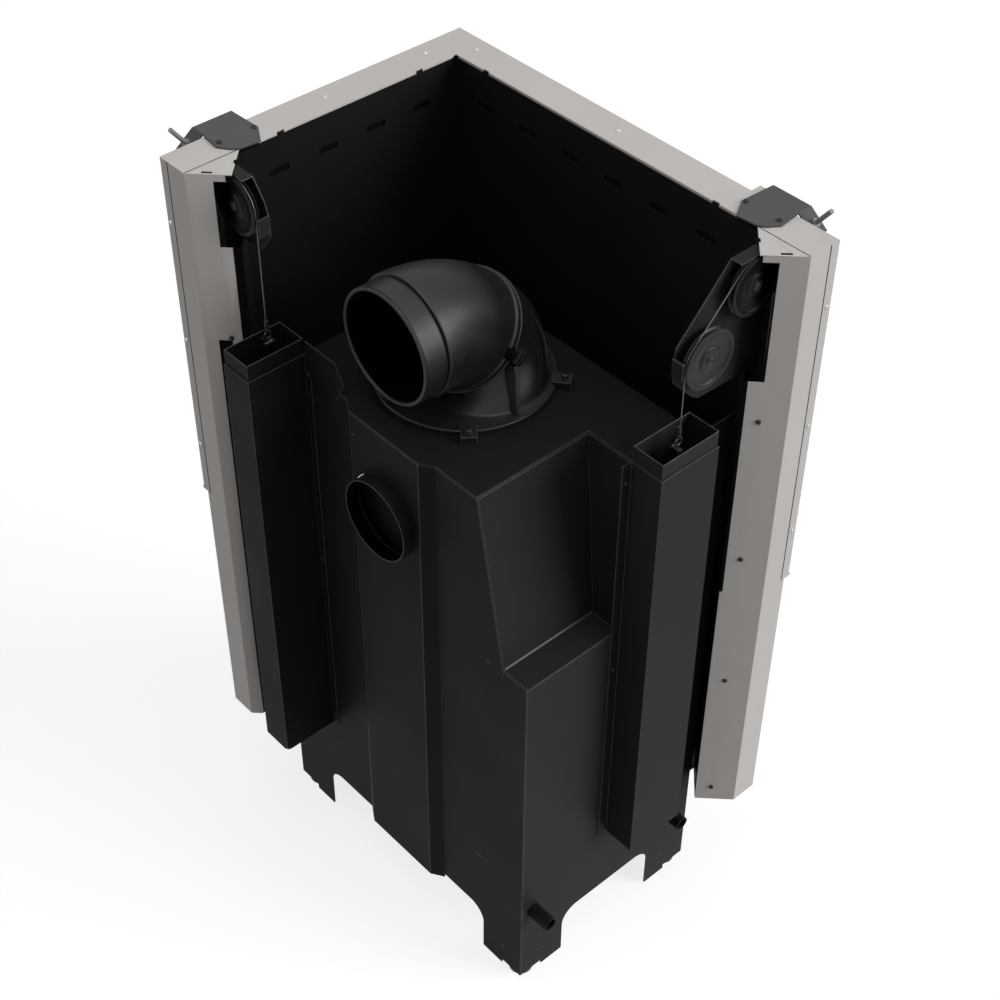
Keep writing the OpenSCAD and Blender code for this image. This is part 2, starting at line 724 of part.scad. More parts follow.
// Shackle: an eye round the pin and the sleeve that grips the cable
eye_r = 5.5;
eye_t = 8;
sleeve_r = 3.5;
module shackle(at) difference() {
    union() {
        translate([at[0] - eye_t / 2, at[1], pin_z]) rotate([0, 90, 0]) cylinder(r = eye_r, h = eye_t);
        translate([at[0], at[1], pin_z + pin_r + 1]) cylinder(r = sleeve_r, h = sleeve_top - pin_z - pin_r - 1);
    }
    translate([at[0] - eye_t, at[1], pin_z]) rotate([0, 90, 0])
        cylinder(r = pin_r + axle_gap, h = 2 * eye_t);
}
module right_shackle() color("silver") placed() front_wing() shackle([front_disc_u, front_weight_v]);
module left_shackle() color("silver") placed() side_wing() shackle([side_disc_u, side_weight_v]);

// Body, drawn in the front wing's coordinates

inner_l = body_l - wall;
inner_b = body_b - wall;
hood_z = cover_low + lip_h;
under_top = body_top - top_t;
base_t = 6;
pad_clear = 14;
pad_clear_w = 51;

// A wall from a to b with a leg at either end and a raised edge over each foot
module leg_wall(a, b, top) difference() {
    translate([a, leg_gap]) square([b - a, top - leg_gap]);
    translate([a + leg_w + arch_r, 0]) square([b - a - 2 * (leg_w + arch_r), arch_z]);
    translate([a + leg_w, -1]) square([b - a - 2 * leg_w, arch_z - arch_r + 1]);
    for (c = [a + leg_w + arch_r, b - leg_w - arch_r]) translate([c, arch_z - arch_r]) circle(r = arch_r);
    translate([a - 1, -1]) square([pad_clear_w + 1, pad_clear + 1]);
    translate([b - pad_clear_w, -1]) square([pad_clear_w + 1, pad_clear + 1]);
}

// The recess in the upper corner between the left wall and the rear wall
module recess(grow) {
    far = 50;
    intersection() {
        in_xz(0, body_b + far) polygon([[body_l + far, ledge_z - grow],
            [body_l - recess_low_in - grow, ledge_z - grow],
            [body_l - recess_top_in - grow, body_top],
            [body_l - recess_top_in - grow, body_top + far], [body_l + far, body_top + far]]);
        in_yz(0, body_l + far) polygon([[body_b + far, ledge_z - grow],
            [body_b - recess_low_len - grow, ledge_z - grow],
            [body_b - recess_top_len - grow, body_top],
            [body_b - recess_top_len - grow, body_top + far], [body_b + far, body_top + far]]);
    }
}

air_hole_w = 90;
air_hole_z = 140;
air_hole_h = 50;
module rear_wall() color("dimgray") placed() front_wing() difference() {
    in_xz(inner_b, body_b) difference() {
        leg_wall(body_gap, body_l, under_top);
        translate([-inlet_x - air_hole_w / 2, air_hole_z]) square([air_hole_w, air_hole_h]);
    }
    recess(0);
}

front_tube_in = 64;
rear_tube_in = 29;
tube_ys = [body_gap + front_tube_in, body_b - rear_tube_in];
module left_wall() color("dimgray") placed() front_wing() difference() {
    in_yz(inner_l, body_l) difference() {
        leg_wall(body_gap, inner_b, under_top);
        for (y = tube_ys) translate([y, tube_z]) circle(d = tube_d + 2 * gap);
    }
    recess(wall);
}
module recess_panel() color("dimgray") placed() front_wing() intersection() {
    difference() {
        recess(wall);
        recess(0);
    }
    block([body_l / 2, body_gap, ledge_z - wall], [body_l, inner_b, under_top]);
}

// Sloping profiles of the hood, moved in by t
function hood_front(t) = [[body_gap + t, hood_z], [body_gap + t, ledge_z],
    [body_gap + hood_front_in + t, under_top], [inner_b, under_top], [inner_b, hood_z]];
function hood_side(t) = [[body_gap + t, hood_z], [body_gap + t, ledge_z],
    [body_gap + hood_side_in + t, under_top], [inner_l, under_top], [inner_l, hood_z]];
module front_hood() color("dimgray") placed() front_wing() intersection() {
    in_xz(body_gap, inner_b) polygon(hood_side(0));
    in_yz(body_gap, inner_l) difference() {
        polygon(hood_front(0));
        polygon(hood_front(wall));
    }
}
module side_hood() color("dimgray") placed() front_wing() intersection() {
    in_xz(body_gap, inner_b) difference() {
        polygon(hood_side(0));
        polygon(hood_side(wall));
    }
    in_yz(body_gap, inner_l) polygon(hood_front(wall));
}

duct_face = body_b + duct_d;
duct_path = [[duct_v, body_b], [duct_v + duct_slope, duct_face],
    [duct_v + duct_w - duct_slope, duct_face], [duct_v + duct_w, body_b]];
module top_plate() color("dimgray") placed() front_wing() difference() {
    translate([0, 0, under_top]) linear_extrude(top_t) polygon(concat([
        [body_gap + hood_side_in, body_gap + hood_front_in], [body_l, body_gap + hood_front_in],
        [body_l, body_b - recess_top_len], [body_l - recess_top_in, body_b - recess_top_len],
        [body_l - recess_top_in, body_b]],
        [for (i = [3:-1:0]) duct_path[i]], [[body_gap + hood_side_in, body_b]]));
    translate([flue_v, flue_y, under_top - 1]) cylinder(d = flue_d - 2 * flue_wall, h = top_t + 2);
}

post_u = front_len - 2 * column_d - sheet;
post_y = side_len - 2 * column_d - sheet;
slider_u = front_len / 2 + 8;
slot_pitch = 60;
air_slot_l = 26;
air_slot_w = 12;
slider_t = 2;
rod_w = 10;
slider_y = body_gap + 16;
slider_z = casing_low - base_t - gap - slider_t;
module front_plinth() color("dimgray") placed() front_wing() in_xz(body_gap, body_gap + wall) difference() {
    union() {
        leg_wall(body_gap, inner_l, casing_low);
        translate([post_u, arch_z]) square([inner_l - post_u, hood_z - arch_z]);
    }
    translate([slider_u - 2, slider_z - 1]) square([rod_w + slider_travel + 4, slider_t + 2]);
}
module side_plinth() color("dimgray") placed() front_wing()
    in_yz(body_gap, body_gap + wall) translate([wall, 0]) union() {
        leg_wall(body_gap, inner_b - wall, casing_low);
        translate([post_y - wall, arch_z]) square([inner_b - post_y, hood_z - arch_z]);
    }

// Rear duct: a folded cover closed at its lower end, with the inlet's hole
function duct_inner(t) = let (
    m1 = moved(duct_path, 1, -t),
    m2 = moved(duct_path, 2, -t),
    run = duct_slope / duct_d * (m1[1] - body_b + 1))
    [[m1[0] - run, body_b - 1], m1, m2, [m2[0] + run, body_b - 1]];
module rear_duct() color("dimgray") placed() front_wing() difference() {
    translate([0, 0, duct_low]) linear_extrude(under_top - duct_low) polygon(duct_path);
    translate([0, 0, duct_low + sheet]) linear_extrude(body_top) polygon(duct_inner(sheet));
    translate([-inlet_x, duct_face + 1, inlet_z]) rotate([90, 0, 0])
        cylinder(d = inlet_d - 2 * inlet_wall, h = sheet + 2);
}
module air_inlet_collar() color("dimgray") placed() front_wing()
    translate([-inlet_x, duct_face, inlet_z]) rotate([-90, 0, 0]) difference() {
        cylinder(d = inlet_d, h = inlet_len);
        translate([0, 0, -1]) cylinder(d = inlet_d - 2 * inlet_wall, h = inlet_len + 2);
    }

// Feet at the body's four corners
foot_places = [for (x = [body_gap + foot_in, body_l - foot_in], y = [body_gap + foot_in, body_b - foot_in]) [x, y]];
gusset_z = 60;
gusset_t = 4;
gusset_w = 56;
stem_r = 6;
stem_up = 40;
foot_nut_r = 10;
foot_nut_h = 8;
module levelling_feet() color("black") placed() front_wing() for (p = foot_places) translate(p) {
    cylinder(d = foot_d, h = foot_t);
    cylinder(r = stem_r, h = gusset_z + stem_up);
    translate([0, 0, gusset_z - foot_nut_h]) cylinder(r = foot_nut_r, h = foot_nut_h, $fn = 6);
    translate([0, 0, gusset_z + gusset_t]) cylinder(r = foot_nut_r, h = foot_nut_h, $fn = 6);
}
module foot_plates() color("dimgray") placed() front_wing() difference() {
    for (x = [body_gap + wall, inner_l - gusset_w], y = [body_gap + wall, inner_b - gusset_w])
        translate([x, y, gusset_z]) cube([gusset_w, gusset_w, gusset_t]);
    for (p = foot_places) translate([p[0], p[1], gusset_z - 1]) cylinder(r = stem_r + gap, h = gusset_t + 2);
}
module carry_tubes() color("black") placed() front_wing() for (y = tube_ys)
    translate([body_gap + wall, y, tube_z]) rotate([0, 90, 0]) difference() {
        cylinder(d = tube_d, h = body_w - wall + tube_out);
        translate([0, 0, -1]) cylinder(d = tube_d - 2 * tube_wall, h = body_w + tube_out + 2);
    }

// Firebox
module air_slots() for (i = [0:2]) translate([slider_u + i * slot_pitch - slot_pitch, slider_y]) children();
module base_plate() color("dimgray") placed() front_wing()
    translate([0, 0, casing_low - base_t]) linear_extrude(base_t) difference() {
        translate([body_gap + wall, body_gap + wall])
            square([inner_l - body_gap - wall, inner_b - body_gap - wall]);
        air_slots() obround(air_slot_l, air_slot_w);
    }
lining_in = 30;
module lining_floor() color("tan") placed() front_wing()
    block([body_gap + lining_in, body_gap + lining_in, casing_low],
        [inner_l - lining_t, inner_b - lining_t, casing_low + lining_t]);
module lining_back() color("tan") placed() front_wing()
    block([body_gap + lining_in, inner_b - lining_t, casing_low], [inner_l, inner_b, lining_top]);
module lining_left() color("tan") placed() front_wing()
    block([inner_l - lining_t, body_gap + lining_in, casing_low], [inner_l, inner_b - lining_t, lining_top]);
baffle_in = 110;
module baffle() color("tan") placed() front_wing()
    block([body_gap + baffle_in, body_gap + baffle_in, lining_top], [inner_l, inner_b, lining_top + baffle_t]);
retainer_t = 4;
retainer_h = 66;
module log_retainer() color("black") placed() translate([0, 0, casing_low]) linear_extrude(retainer_h)
    corner_plan(body_gap + lining_in - retainer_t, body_gap + lining_in, inner_l - lining_t, inner_b - lining_t);

// Frame that the door closes, its rope seal and the air slider
lining_lap = 8;
top_bar_t = hood_z - cover_low + lining_lap;
module opening_frame() color("black") placed() {
    translate([0, 0, casing_low]) linear_extrude(throat_t) corner_plan(throat_v, body_gap, post_u, post_y);
    translate([0, 0, hood_z - top_bar_t]) linear_extrude(top_bar_t)
        corner_plan(throat_v, body_gap, post_u, post_y);
    front_wing() block([post_u - throat_t, throat_v, casing_low], [post_u, body_gap, hood_z]);
    side_wing() block([post_y - throat_t, throat_v, casing_low], [post_y, body_gap, hood_z]);
}
module door_seal() color("gray") placed() {
    translate([0, 0, casing_low]) linear_extrude(throat_t) corner_plan(seal_v, throat_v, post_u, post_y);
    translate([0, 0, hood_z - top_bar_t]) linear_extrude(top_bar_t) corner_plan(seal_v, throat_v, post_u, post_y);
    front_wing() block([post_u - throat_t, seal_v, casing_low], [post_u, throat_v, hood_z]);
    side_wing() block([post_y - throat_t, seal_v, casing_low], [post_y, throat_v, hood_z]);
}
knob_r = 7;
knob_h = 30;
knob_v = 40;
slider_w = 24;
slider_past = 20;
module air_slider() color("silver") placed() front_wing() {
    translate([0, 0, slider_z]) linear_extrude(slider_t) difference() {
        union() {
            translate([slider_u - slot_pitch - slider_past, body_gap + wall + 1])
                square([2 * (slot_pitch + slider_past), slider_w]);
            translate([slider_u, knob_v]) square([rod_w, body_gap + wall + 2 - knob_v]);
        }
        air_slots() obround(air_slot_l, air_slot_w);
    }
    translate([slider_u + rod_w / 2, knob_v, slider_z - knob_h]) cylinder(r = knob_r, h = knob_h + slider_t);
}

// Flue: foot with its dome, elbow on the inclined joint, clamps
flue_r = flue_d / 2;
ridge_r = elbow_r + 2.5;
ridge_t = 6;
dome_base_z = body_top + flange_t;
lug_w = 22;
lug_d = 16;
lug_t = 9;
module at_joint() translate([flue_v, flue_y, joint_z]) rotate([-45, 0, 0]) children();
module below_joint(drop) at_joint() translate([-2 * flange_r, -2 * flange_r, -4 * flange_r - drop])
    cube(4 * flange_r);
module dome_cone(r_foot, r_joint, z) translate([flue_v, flue_y, z])
    cylinder(r1 = r_foot, r2 = r_joint, h = joint_z - z);
module dome_ball(r) translate([flue_v, flue_y, joint_z]) sphere(r = r);
module flue_foot() color("dimgray") placed() front_wing() difference() {
    union() {
        translate([flue_v, flue_y, body_top]) cylinder(r = flange_r, h = flange_t);
        intersection() {
            union() {
                dome_cone(dome_r, elbow_r, dome_base_z - 2);
                dome_ball(elbow_r);
            }
            below_joint(gap);
            translate([flue_v, flue_y, body_top]) cylinder(r = flange_r, h = 2 * joint_h);
        }
        at_joint() translate([0, 0, -ridge_t]) cylinder(r = ridge_r, h = ridge_t - gap);
        at_joint() translate([ridge_r - 4, -lug_w / 2, -lug_t]) cube([lug_d, lug_w, lug_t - gap]);
    }
    intersection() {
        dome_cone(dome_r - flue_wall, elbow_r - flue_wall, dome_base_z - 1);
        below_joint(ridge_t);
    }
    dome_ball(elbow_r - flue_wall);
    translate([flue_v, flue_y, body_top - 1]) cylinder(r = flue_r - flue_wall, h = flange_t + 4);
}

// The elbow's path lies in the plane of the flue's axis: neck, bend, spigot
bend_y = flue_y + neck_len * sin(45) + bend_r * sin(45);
bend_z = joint_z + neck_len * cos(45) - bend_r * cos(45);
barrel_len = 12;
shoulder_y = bend_y + barrel_len;
mouth_y = shoulder_y + spigot_len;
bend_step = 0.5;
bend_over = 0.5;
shoulder_t = 6;
shoulder_r = elbow_r + 3;
module bend(r) translate([flue_v, bend_y, bend_z]) rotate([90, 0, 90]) rotate([0, 0, 90 - bend_over])
    rotate_extrude(angle = 45 + 2 * bend_over) translate([bend_r, 0]) circle(r = r);
module neck(r, from) at_joint() translate([0, 0, from]) cylinder(r = r, h = neck_len - from);
module straight(r, y0, y1) translate([flue_v, y0, bend_z + bend_r]) rotate([-90, 0, 0])
    cylinder(r = r, h = y1 - y0);
module flue_elbow() color("dimgray") placed() front_wing() difference() {
    union() {
        neck(elbow_r, 0);
        bend(elbow_r - bend_step);
        straight(elbow_r, bend_y, shoulder_y);
        straight(shoulder_r, shoulder_y - shoulder_t, shoulder_y);
        straight(flue_r, shoulder_y - 1, mouth_y);
        at_joint() cylinder(r = ridge_r, h = ridge_t);
        at_joint() translate([ridge_r - 4, -lug_w / 2, 0]) cube([lug_d, lug_w, lug_t]);
    }
    neck(elbow_r - flue_wall, -1);
    bend(elbow_r - flue_wall - bend_step);
    straight(elbow_r - flue_wall, bend_y, shoulder_y - shoulder_t);
    straight(flue_r - flue_wall, bend_y, mouth_y + 1);
}

clamp_in = 143;
clamp_mid = 153;
clamp_out = 174;
clamp_w = 26;
clamp_t = 5;
clamp_bolt_at = 163;
clamp_bolt_r = 4;
clamp_nut_r = 7;
clamp_nut_h = 5;
clamp_turn = 39;
module each_clamp() for (a = [-clamp_turn, clamp_turn, 180 - clamp_turn, 180 + clamp_turn])
    translate([flue_v, flue_y, body_top]) rotate([0, 0, a]) children();
module flue_clamps() color("black") placed() front_wing() each_clamp() difference() {
    union() {
        translate([clamp_in, -clamp_w / 2, flange_t + gap]) cube([clamp_out - clamp_in, clamp_w, clamp_t]);
        translate([clamp_mid, -clamp_w / 2, 0]) cube([clamp_out - clamp_mid, clamp_w, flange_t + gap + clamp_t]);
    }
    translate([clamp_bolt_at, 0, -1]) cylinder(r = clamp_bolt_r + gap, h = 2 * flange_t + clamp_t);
}
module clamp_bolts() color("silver") placed() front_wing() each_clamp() translate([clamp_bolt_at, 0, 0]) {
    cylinder(r = clamp_bolt_r, h = flange_t + clamp_t + clamp_nut_h);
    translate([0, 0, flange_t + gap + clamp_t]) cylinder(r = clamp_nut_r, h = clamp_nut_h, $fn = 6);
}

// Door
door_u = front_len - 2 * column_d + door_overlap;
door_y = side_len - 2 * column_d + door_overlap;
glass_v = glass_setback + glass_t;
module door_frame() color("black") placed() {
    for (z = [door_low, door_top - rail_w]) translate([0, 0, z]) linear_extrude(rail_w)
        corner_plan(glass_v, frame_v, door_u, door_y);
    front_wing() block([door_u - rail_w, glass_v, door_low], [door_u, frame_v, door_top]);
    side_wing() block([door_y - rail_w, glass_v, door_low], [door_y, frame_v, door_top]);
}
module pane(len) translate([0, 0, door_low + handle_t + 1]) linear_extrude(door_h - handle_t - 2)
    polygon([[glass_setback + gap, glass_setback], [len, glass_setback], [len, glass_v], [glass_v + gap, glass_v]]);
module door_glass() color("lightblue", 0.4) placed() {
    front_wing() pane(door_u);
    side_wing() pane(door_y);
}
module door_handle() color("silver") placed() front_wing()
    block([door_u / 2 - handle_len / 2, 1, door_low], [door_u / 2 + handle_len / 2, glass_v, door_low + handle_t]);

// Carriages: a side plate with two shoes round the rail and the cable's lug
shoe_h = 40;
shoe_gap = 0.5;
shoe_wall = 6;
plate_t = 5;
shoe_short = 3;
cable_lug_w = 6;
lug_h = 30;
module carriage(len, disc_u, end) {
    head_u = len - rail_in - rail_head;
    half = rail_head / 2 + shoe_gap;
    block([end, rail_v - plate_t / 2, door_low], [head_u - shoe_gap - shoe_wall, rail_v + plate_t / 2, door_top]);
    for (z = [door_low, door_top - shoe_h]) difference() {
        block([head_u - shoe_gap - shoe_wall, rail_v - half - shoe_wall, z],
            [len - rail_in - shoe_short, rail_v + half + shoe_wall, z + shoe_h]);
        block([head_u - shoe_gap, rail_v - half, z - 1], [len, rail_v + half, z + shoe_h + 1]);
    }
    block([disc_u - cable_lug_w, rail_v + plate_t / 2, lug_top - lug_h],
        [disc_u + cable_lug_w, cable_v + cable_lug_w, lug_top]);
}
module door_carriages() color("gray") placed() {
    front_wing() carriage(front_len, front_disc_u, door_u);
    side_wing() carriage(side_len, side_disc_u, door_y);
}

front_cover();
side_cover();
right_column();
left_column();
column_caps();
front_inner_panel();
side_inner_panel();
guide_rails();
cover_screws();
black_screws();
right_anchor();
left_anchor();
anchor_bolts();
lower_sill();
right_pulley_bracket();
left_pulley_bracket();
right_upper_pulley();
right_lower_pulley();
left_pulley();
pulley_axles();
right_cable();
left_cable();
right_weight();
left_weight();
right_shackle();
left_shackle();
right_channel();
left_channel();
right_liner();
left_liner();
rear_wall();
left_wall();
recess_panel();
front_hood();
side_hood();
top_plate();
front_plinth();
side_plinth();
rear_duct();
air_inlet_collar();
levelling_feet();
foot_plates();
carry_tubes();
base_plate();
lining_floor();
lining_back();
lining_left();
baffle();
log_retainer();
opening_frame();
door_seal();
air_slider();
flue_foot();
flue_elbow();
flue_clamps();
clamp_bolts();
door_frame();
door_glass();
door_handle();
door_carriages();
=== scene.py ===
import bpy
import bmesh
import math
from mathutils import Matrix, Vector


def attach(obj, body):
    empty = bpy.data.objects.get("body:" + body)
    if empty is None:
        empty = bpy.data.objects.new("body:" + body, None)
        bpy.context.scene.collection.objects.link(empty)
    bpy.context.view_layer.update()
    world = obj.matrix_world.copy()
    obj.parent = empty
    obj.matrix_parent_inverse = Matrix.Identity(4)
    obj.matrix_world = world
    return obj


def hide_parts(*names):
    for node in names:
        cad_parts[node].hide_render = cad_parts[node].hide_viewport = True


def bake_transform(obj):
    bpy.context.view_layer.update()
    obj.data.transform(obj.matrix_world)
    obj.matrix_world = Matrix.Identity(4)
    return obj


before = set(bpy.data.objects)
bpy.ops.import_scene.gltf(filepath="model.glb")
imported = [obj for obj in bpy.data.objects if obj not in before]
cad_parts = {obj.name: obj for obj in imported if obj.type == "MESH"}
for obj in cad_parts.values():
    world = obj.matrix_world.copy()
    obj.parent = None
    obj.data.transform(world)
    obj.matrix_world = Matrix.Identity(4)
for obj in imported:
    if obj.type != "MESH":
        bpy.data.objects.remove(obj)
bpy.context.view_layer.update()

TAU = 2 * math.pi
UP, BACK, LEFT = (0, 0, 1), (0, 1, 0), (-1, 0, 0)

# The corner frame has its origin under the glass corner, the row's directions and heights above the
# floor. Sizes are in millimetres of that frame. This is the place of its origin in the row.
ORIGIN_X, ORIGIN_Y = 405.5, -302.5
# Wings: lengths from the glass corner, top, foot of the columns and of the covers, depth of the
# casing, and depth of a column's slanting face
FRONT_LEN, SIDE_LEN = 844, 614
TOP, LOW, COVER_LOW = 1482, 239, 793
WING_D, COLUMN_D = 64, 52
# Body: its left and rear wall, and the weight channels' ends
BODY_L, BODY_B = 753, 524
CHANNEL_TOP, CHANNEL_LOW = 1178, 279
# Flue: its upright axis, the seat of the foot and the middle of the slanting joint
FLUE_X, FLUE_Y, FOOT_Z, JOINT_Z = -400, 342, 1147, 1240
# Air collar: the middle of its foot, on the rear duct's face
COLLAR_X, COLLAR_Y, COLLAR_Z = -431.5, 540, 982
# Cables: height of the upper hubs, their place behind the face, the cable's radius round them, the
# way from the right wing's upper hub to its lower one, where the pulleys stand along either wing,
# and the heights at which the cables end at the door and at the weights
HUB_Z, HUB_V, PITCH_R = 1425, 113, 48
LOWER_HUB = (88, -91)
FRONT_DISC, SIDE_DISC = 785.5, 555.5
DOOR_END_Z, WEIGHT_END_Z = 797, 1222


def at(x, y, z):
    """A point of the corner frame as the row's metres."""
    return Vector(((x + ORIGIN_X) / 1000, (y + ORIGIN_Y) / 1000, z / 1000))


def front(u, v, z):
    """A point of the front wing: u along it from the glass corner, v behind its face."""
    return at(-u, v, z)


def side(u, v, z):
    """A point of the side wing, in the same terms."""
    return at(-v, u, z)


def heading(wing, u, v):
    """The direction that leads u along a wing and v backward."""
    return wing(u, v, 0) - wing(0, 0, 0)


# Camera at the photograph's place and angle
CAMERA_SPOT = (-1.7875, 1.5945, 3.046)
YAW_PITCH_ROLL = (-42.35, -42.49, 0.47)
LENS, SENSOR = 67.47, 36


def make_camera():
    data = bpy.data.cameras.new("camera")
    data.lens, data.sensor_width = LENS, SENSOR
    data.clip_start, data.clip_end = 0.05, 100
    cam = bpy.data.objects.new("camera", data)
    bpy.context.scene.collection.objects.link(cam)
    yaw, pitch, roll = (math.radians(angle) for angle in YAW_PITCH_ROLL)
    level = math.cos(pitch)
    ahead = Vector((level * math.cos(yaw), level * math.sin(yaw), math.sin(pitch)))
    right = ahead.cross(Vector(UP)).normalized()
    up = right.cross(ahead)
    right, up = (
        math.cos(roll) * right + math.sin(roll) * up,
        math.cos(roll) * up - math.sin(roll) * right,
    )
    turn = Matrix((right, up, -ahead)).transposed()
    cam.matrix_world = Matrix.Translation(CAMERA_SPOT) @ turn.to_4x4()
    bpy.context.scene.camera = cam


make_camera()
bpy.context.scene.view_settings.view_transform = "Standard"


# Materials
class Nodes:
    """A node tree and its links, written short."""

    def __init__(self, tree):
        self.tree = tree
        tree.nodes.clear()

    def add(self, kind, **values):
        """A shader node; a value is a property or, with _ for a space, an input of it."""
        node = self.tree.nodes.new("ShaderNode" + kind)
        for key, value in values.items():
            if hasattr(node, key):
                setattr(node, key, value)
            else:
                node.inputs[key.replace("_", " ")].default_value = value
        return node

    def link(self, a, b):
        self.tree.links.new(a, b)


def new_material(name):
    mat = bpy.data.materials.new(name)
    mat.use_nodes = True
    return mat, Nodes(mat.node_tree)


# The noise values between which a paint's colour and roughness drift
DRIFT = (0.3, 0.7)


def drifting(n, source, colour, vary):
    """A colour that grows lighter with source, from vary below the given one to vary above it."""
    node = n.add("ValToRGB")
    for mark, place, factor in zip(node.color_ramp.elements, DRIFT, (1 - vary, 1 + vary)):
        mark.position = place
        mark.color = (*(c * factor for c in colour), 1)
    n.link(source, node.inputs["Fac"])
    return node.outputs["Color"]


def finish_of(name, colour, rough, metallic, level, vary, scale, grain, bump):
    """A material whose colour and roughness drift in soft patches over a fine grain."""
    mat, n = new_material(name)
    out = n.add("OutputMaterial")
    shader = n.add("BsdfPrincipled", Metallic=metallic, Specular_IOR_Level=level)
    where = n.add("TexCoord").outputs["Object"]
    patches = n.add("TexNoise", Scale=scale, Detail=6.0, Roughness=0.6)
    n.link(where, patches.inputs["Vector"])
    n.link(drifting(n, patches.outputs["Fac"], colour, vary), shader.inputs["Base Color"])
    rough_map = n.add("MapRange", From_Min=DRIFT[0], From_Max=DRIFT[1],
                      To_Min=rough[0], To_Max=rough[1])
    n.link(patches.outputs["Fac"], rough_map.inputs["Value"])
    n.link(rough_map.outputs["Result"], shader.inputs["Roughness"])
    fine = n.add("TexNoise", Scale=grain, Detail=3.0)
    n.link(where, fine.inputs["Vector"])
    press = n.add("Bump", Strength=bump, Distance=0.001)
    n.link(fine.outputs["Fac"], press.inputs["Height"])
    n.link(press.outputs["Normal"], shader.inputs["Normal"])
    n.link(shader.outputs["BSDF"], out.inputs["Surface"])
    return mat


def grey(value, warm=0.0):
    """A linear colour from an 8-bit grey, a little warmer if asked."""
    c = (value / 255) ** 2.2
    return (c * (1 + warm), c, c * (1 - warm))


# Each has its name and colour, roughness from and to, metallic, specular level, how much the colour
# drifts, how fine the patches and the grain are, and how strongly the grain is pressed in
GALVANISED = finish_of("galvanised_sheet", grey(175, 0.035), (0.42, 0.55), 0.12, 0.3, 0.035, 5, 450,
                       0.03)
BLACK_SHEET = finish_of("black_sheet", grey(28), (0.5, 0.62), 0, 0.05, 0.12, 4, 1400, 0.03)
# The same black paint, lighter for the parts that face the strong light from -x: painted light
LIT_SIDE_SHEET = finish_of("black_sheet_lit_side", grey(39, 0.02), (0.5, 0.62), 0, 0.06, 0.12, 4, 1400,
                       0.03)
DARK_PANEL = finish_of("black_inner_panel", grey(25), (0.55, 0.68), 0, 0.06, 0.12, 4, 1400, 0.03)
# Light grey for the bevels along black edges: a painted highlight
EDGE_HIGHLIGHT = finish_of("painted_edge_highlight", grey(80), (0.4, 0.5), 0.1, 0.3, 0.15, 30, 1400, 0.02)
# Light grey for the recess panel's lower lip: a painted highlight
LIP_HIGHLIGHT = finish_of("painted_lip_highlight", grey(84), (0.4, 0.5), 0.1, 0.3, 0.15, 30, 1400, 0.02)
ANCHOR_BLACK = finish_of("anchor_paint", grey(75, 0.02), (0.45, 0.55), 0, 0.15, 0.06, 9, 1500, 0.03)
CAST = finish_of("cast_iron_paint", grey(24), (0.38, 0.5), 0, 0.31, 0.12, 14, 650, 0.06)
ZINC = finish_of("zinc_plate", grey(196), (0.22, 0.36), 0.9, 0.5, 0.06, 30, 900, 0.02)
STEEL = finish_of("dark_steel", grey(64), (0.35, 0.5), 0.6, 0.5, 0.12, 20, 700, 0.03)
BLACK_SCREW = finish_of("black_oxide", grey(24), (0.45, 0.55), 0, 0.35, 0.1, 60, 900, 0.02)
BOLT = finish_of("dull_zinc", grey(120), (0.4, 0.5), 0.5, 0.4, 0.06, 30, 900, 0.02)
# Near-black for dark joints and the lugs' knobs, and as painted shade at slots and under the anchors
SEAM_AND_SHADE = finish_of("seam_shadow", grey(14), (0.8, 0.9), 0, 0.05, 0.05, 30, 900, 0.01)
# Near-black for the insides of the flue and the air collar: painted shade
INNER_SHADE = finish_of("painted_inner_shade", grey(7), (0.92, 0.98), 0, 0.02, 0.2, 12, 500, 0.05)
PULLEY = finish_of("pulley_moulding", grey(22, 0.02), (0.34, 0.44), 0, 0.2, 0.08, 25, 900, 0.02)
# A darker copy of the pulley moulding for the upper and left pulleys: painted shade of the column
SHADED_PULLEY = finish_of("shaded_pulley_moulding", grey(13), (0.34, 0.44), 0, 0.12, 0.08, 25, 900,
                        0.02)
FIRECLAY = finish_of("fireclay", (0.46, 0.37, 0.27), (0.82, 0.95), 0, 0.2, 0.1, 9, 900, 0.12)
ROPE = finish_of("rope_seal", (0.34, 0.33, 0.31), (0.85, 0.95), 0, 0.2, 0.12, 60, 520, 0.5)
CABLE = finish_of("steel_cable", grey(92), (0.35, 0.48), 0.7, 0.5, 0.1, 90, 800, 0.05)


def glass_material():
    """Clear ceramic glass with a faint uneven haze."""
    mat, n = new_material("ceramic_glass")
    out = n.add("OutputMaterial")
    clear = n.add("BsdfPrincipled", Base_Color=(0.93, 0.9, 0.84, 1), IOR=1.5, Transmission_Weight=1)
    film = n.add("TexNoise", Scale=7.0, Detail=5.0)
    n.link(n.add("TexCoord").outputs["Object"], film.inputs["Vector"])
    haze = n.add("MapRange", From_Min=0.35, From_Max=0.75, To_Min=0.0, To_Max=0.05)
    n.link(film.outputs["Fac"], haze.inputs["Value"])
    n.link(haze.outputs["Result"], clear.inputs["Roughness"])
    n.link(clear.outputs["BSDF"], out.inputs["Surface"])
    return mat


GLASS = glass_material()

